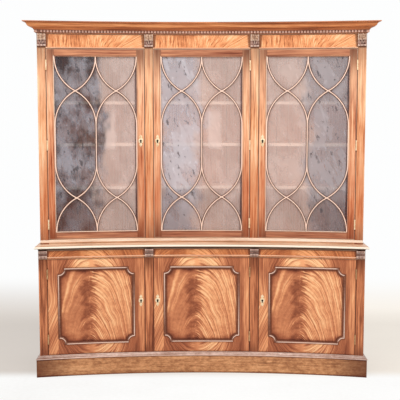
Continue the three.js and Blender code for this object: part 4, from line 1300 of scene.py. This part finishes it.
def leafShape(bay):
    # a door leaf as level outlines, with eased arrises and hollows for the fixed knuckles
    _, place, side = bay
    front, thick, soft = baseFront, plan["thickness"], doorArris
    faceSteps, backSteps = 40, 20

    def ring(z, notched, inset=0.0):
        points = []
        for end in (-1, 1):
            corner = cornerPoints(notched and end == side)
            for inward, depth in corner if end < 0 else reversed(corner):
                depth = max(depth, inset)
                points.append((end * (front.doorHalf - max(inward, inset) - front.lean * depth), depth))
            if end < 0:
                reach = front.doorHalf - 0.006
                points += [(reach * (2 * i / faceSteps - 1), inset) for i in range(faceSteps + 1)]
        backReach = front.doorHalf - front.lean * thick - inset
        points += [(backReach * (1 - 2 * i / backSteps), thick - inset) for i in range(backSteps + 1)]
        return [front.at(place * front.bayStep + s, -depth, z) for s, depth in points]

    eases = [(0.0, 1.0), (0.3, 0.3), (1.0, 0.0)]
    rings = [ring(baseDoorLow + soft * share, False, soft * inset) for share, inset in eases]
    for low, high in notchSpans(front):
        rings += [ring(low, False), ring(low, True), ring(high, True), ring(high, False)]
    rings += [ring(baseDoorHigh - soft * share, False, soft * inset) for share, inset in reversed(eases)]
    return sweep(rings)


def panelPath():
    halfWidth, halfHeight = panelHalf
    corner, cornerSteps, railSteps = panel["corner"], 14, 22
    turns = [math.pi / 2 * i / cornerSteps for i in range(cornerSteps + 1)]
    quarter = [(halfWidth - corner * math.sin(t), halfHeight - corner * math.cos(t)) for t in turns]
    reach = halfWidth - corner
    rail = [(reach * (1 - 2 * (i + 1) / railSteps), halfHeight) for i in range(railSteps - 1)]
    upper = quarter + rail + [(-s, z) for s, z in reversed(quarter)]
    return upper + [(-s, -z) for s, z in upper]


def panelMouldingShape(bay):
    place = bay[1]
    # across from outside to inside, and up from the door
    section = softened(outlineOf(
        (-0.0065, -0.0006), (-0.0065, 0.0034),
        bulged((-0.0062, 0.003), (-0.0012, 0.0058), -0.34, 9),
        bulged((-0.0006, 0.0056), (0.0046, 0.0014), 0.12, 6),
        (0.005, 0.0022), (0.0062, 0.0018), (0.0065, -0.0006),
    ), 0.0003, 1)
    path = [Vector(p) for p in panelPath()]
    rings, relief = [], []
    for i, point in enumerate(path):
        into = (point - path[i - 1]).normalized()
        out = (path[(i + 1) % len(path)] - point).normalized()
        mitre = Vector((-into.y - out.y, into.x + out.x)).normalized()
        mitre /= mitre.x * -into.y + mitre.y * into.x
        middle, height = place * baseFront.bayStep + point.x, panelZ + point.y
        rings.append([
            baseFront.at(middle + across * mitre.x, rise, height + across * mitre.y) for across, rise in section
        ])
        # painted highlight on the crown, strongest on the level runs, and painted shade along the feet
        level = min(1, abs(into.x) * 1.5)
        relief += [0.95 * level if rise > 0.0052 else 0.1 if rise > 0.0012 else -0.5 for _, rise in section]
    return sweep(rings, closed=True), relief


# Keyhole plates
plate = {"height": 0.075, "width": 0.028, "base": 0.0003, "rim": 0.0014, "dome": 0.0012}
plateTable = [(0, 1), (0.2, 0.94), (0.44, 0.42), (0.6, 0.62), (0.72, 0.56), (0.86, 0.22), (1, 0.04)]


def plateMesh():
    rows, columns = 72, 16
    rings = []
    for j in range(rows + 1):
        w = 2 * j / rows - 1
        half, z = plate["width"] / 2 * eased(plateTable, abs(w)), w * plate["height"] / 2
        front = []
        for i in range(columns + 1):
            a = 2 * i / columns - 1
            rim = max(0, 1 - abs(a) ** 3) * min(1, (1 - abs(w)) * 12)
            front.append(Vector((a * half, plate["base"] + plate["rim"] + plate["dome"] * rim, z)))
        rings.append(front + [Vector((half, plate["base"], z)), Vector((-half, plate["base"], z))])
    body = solid("plate", sweep(rings))
    radius, half, foot = keyhole["radius"], keyhole["half"], keyhole["foot"]
    turns = [math.pi * (-1 / 3 + (5 / 3) * i / 14) for i in range(15)]
    hole = [(radius * math.cos(t), radius * math.sin(t)) for t in turns] + [(-half, -foot), (half, -foot)]
    cutter = solid("keyhole", sweep([[Vector((x, out, z)) for x, z in hole] for out in (-0.002, 0.006)]))
    return combined(body, [cutter], "DIFFERENCE")


print("cutting the keyhole plates")
flatPlate = plateMesh()


def platePiece(name, front, bay, body):
    _, place, side = bay
    mesh = flatPlate.copy()
    centre = place * front.bayStep - side * (front.doorHalf - glassDoor["stile"] / 2)
    for vertex in mesh.vertices:
        x, out, z = vertex.co
        vertex.co = front.at(centre + x, out, front.keyholeZ + z)
    dress(name, mesh, finishes["brass"], body, crease=40)


# A door's edge is open where its bolt slides out: insets from the edge, depths behind the face, half its height
boltChannel = {"inset": (-0.003, 0.0275), "depth": (0.0125, 0.0195), "half": 0.0075}


def channelShape(front, bay):
    _, place, side = bay
    near, far = boltChannel["depth"]
    low, high = front.keyholeZ - boltChannel["half"], front.keyholeZ + boltChannel["half"]
    rings = []
    for inset in boltChannel["inset"]:
        s = place * front.bayStep - side * (front.doorHalf - inset)
        rings.append([front.at(s, -depth, z) for depth, z in ((near, low), (far, low), (far, high), (near, high))])
    return sweep(rings)


print("building doors")
for bay in bays:
    name = bay[0]
    upperBody, baseBody = f"upper_{name}_door", f"lower_{name}_door"
    shape, relief = doorFrameShape(bay)
    makePiece(
        f"glazed_door_{name}_frame", shape, finishes["doorFrame"], upperBody,
        [f"glass_door_{name}_frame"], relief, cut=channelShape(upperFront, bay),
    )
    traceryPiece(bay, upperBody)
    hingePieces("glazed_door", upperFront, bay, upperBody)
    platePiece(f"glazed_door_{name}_keyhole_plate", upperFront, bay, upperBody)
    makePiece(
        f"panelled_door_{name}_leaf", leafShape(bay), finishes["flame"], baseBody,
        [f"panel_door_{name}_leaf"], cut=channelShape(baseFront, bay),
    )
    shape, relief = panelMouldingShape(bay)
    makePiece(
        f"panelled_door_{name}_moulding", shape, finishes["trim"], baseBody,
        [f"panel_door_{name}_moulding"], relief,
    )
    hingePieces("panelled_door", baseFront, bay, baseBody)
    platePiece(f"panelled_door_{name}_keyhole_plate", baseFront, bay, baseBody)


# Boarded backs

boards = {"count": 12, "groove": 0.0022}


def boardedBack(node):
    low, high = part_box(node)
    count, groove = boards["count"], boards["groove"]
    width = (high.x - low.x) / count
    rear, fore = [], []
    for i in range(count + 1):
        x = low.x + i * width
        if 0 < i < count:
            rear += [(x - groove, high.y), (x, high.y - groove), (x + groove, high.y)]
            fore += [(x - groove, low.y), (x, low.y + groove), (x + groove, low.y)]
        else:
            rear.append((x, high.y))
            fore.append((x, low.y))
    outline = rear + fore[::-1]
    rings = [[Vector((x, y, z)) for x, y in outline] for z in (low.z, high.z)]
    relief = reliefOf(outline) * len(rings)
    makePiece(f"{node}_boards", sweep(rings), finishes["back"], "carcase", [node], relief, crease=20)


boardedBack("upper_back")
boardedBack("base_back")

# Finishes of the model's own pieces that stay in view; the first pattern that fits a name counts
ownFinishes = {
    "*shelf*": "shelf", "*_glass": "glass", "glass*_lock": "upperLock", "*_lock": "baseLock", "*_bolt": "brass",
    "upper_side*": "upperUpright", "upper_partition*": "upperUpright", "upper_floor": "table",
    "dust_board": "dust", "*": "baseUpright",
}
for name, node in nodes.items():
    kind = next(kind for pattern, kind in ownFinishes.items() if fnmatch(name, pattern))
    for slot in node.material_slots:
        slot.material = finishes[kind]


# Floor, light and camera

def seenDirectly(graph):
    # 1 for what the camera sees, also in a reflection or through glass
    rays = ("Is Camera Ray", "Is Glossy Ray", "Is Transmission Ray")
    camera, glossy, transmission = [graph.node("ShaderNodeLightPath", None, None, ray) for ray in rays]
    return camera + glossy + transmission


room = {
    "backdrop": (0.985, 0.99, 0.99), "light": (1, 0.985, 0.965), "strength": 0.48, "floorGlow": 0.72, "floorHalf": 12,
}


def stageFloor():
    # a pale floor that partly shows its own colour, so that it stays light and keeps the shadow
    finish = Finish("pale_floor", {"Roughness": 0.9, "Specular IOR Level": 0.1})
    x, y = finish.x, finish.y
    pile = finish.noise(x * 38, y * 38, 0.0, 4)
    patch = finish.noise(x * 0.7, y * 0.9, 2.0, 3)
    near = finish.below(y, -0.26, -0.08)
    # painted light: the floor is darker to the left, lighter to the right, and white just in front of the case, where
    # it also glows more and shows less of the shadow
    colour = finish.blend(rgb(222, 215, 208), rgb(250, 243, 233), finish.band(x, -1.2, 1.4))
    colour = finish.blend(colour, rgb(255, 255, 254), near)
    colour = finish.blend(colour, rgb(206, 198, 190), finish.band(patch + (pile - 0.5) * 0.3, 0.4, 0.9) * 0.25)
    colour = finish.blend(colour, room["backdrop"], finish.band(y, 1.2, 3.0))
    finish.surface(Base_Color=colour)
    glow = finish.node("ShaderNodeEmission", None, {0: colour})
    share = finish.choose(room["floorGlow"], 1.0, finish.band(y, 1.0, 1.6) + near * 0.88)
    mix = finish.node("ShaderNodeMixShader", None, {0: seenDirectly(finish) * share, 1: finish.shader, 2: glow})
    finish.feed(finish.tree.nodes["Material Output"].inputs["Surface"], mix)
    half = room["floorHalf"]
    corners = [(-half, -half, 0), (half, -half, 0), (half, half, 0), (-half, half, 0)]
    mesh = meshOf("floor", (corners, [(0, 1, 2, 3)]))
    mesh.materials.append(finish.material)
    placed("floor", mesh)


def roomLight():
    world = bpy.data.worlds.new("room")
    bpy.context.scene.world = world
    world.use_nodes = True
    graph = Graph(world.node_tree)
    lit = graph.node("ShaderNodeBackground", None, {"Color": room["light"], "Strength": room["strength"]})
    seen = graph.node("ShaderNodeBackground", None, {"Color": room["backdrop"]})
    mix = graph.node("ShaderNodeMixShader", None, {0: seenDirectly(graph), 1: lit, 2: seen})
    graph.node("ShaderNodeOutputWorld", None, {"Surface": mix})


def softLamp(name, place, aim, size, power, colour):
    lamp = bpy.data.lights.new(name, "AREA")
    lamp.shape, lamp.size, lamp.size_y = "RECTANGLE", size[0], size[1]
    lamp.energy, lamp.color = power, colour
    made = placed(name, lamp)
    made.location = place
    made.rotation_euler = (Vector(aim) - Vector(place)).to_track_quat("-Z", "Y").to_euler()


def photoCamera():
    view = {"lens": 80.75, "sensor": 36, "tilt": 6.096, "place": (-0.0102, -5.4403, 1.6205)}
    camera = bpy.data.cameras.new("camera")
    camera.lens, camera.sensor_width = view["lens"], view["sensor"]
    made = placed("camera", camera)
    made.location = view["place"]
    made.rotation_euler = (math.radians(90 - view["tilt"]), 0, 0)
    bpy.context.scene.camera = made


print("setting the stage")
stageFloor()
roomLight()
softLamp("window", place=(2.6, -4.6, 3.6), aim=(0, 0, 1.1), size=(2.2, 1.4), power=85, colour=(1, 0.985, 0.96))
softLamp("ceiling", place=(-1.0, -2.4, 4.4), aim=(0, 0, 1.0), size=(3.0, 1.2), power=85, colour=(1, 0.99, 0.97))
photoCamera()
bpy.context.scene.view_settings.view_transform = "Standard"

print("scene ready")
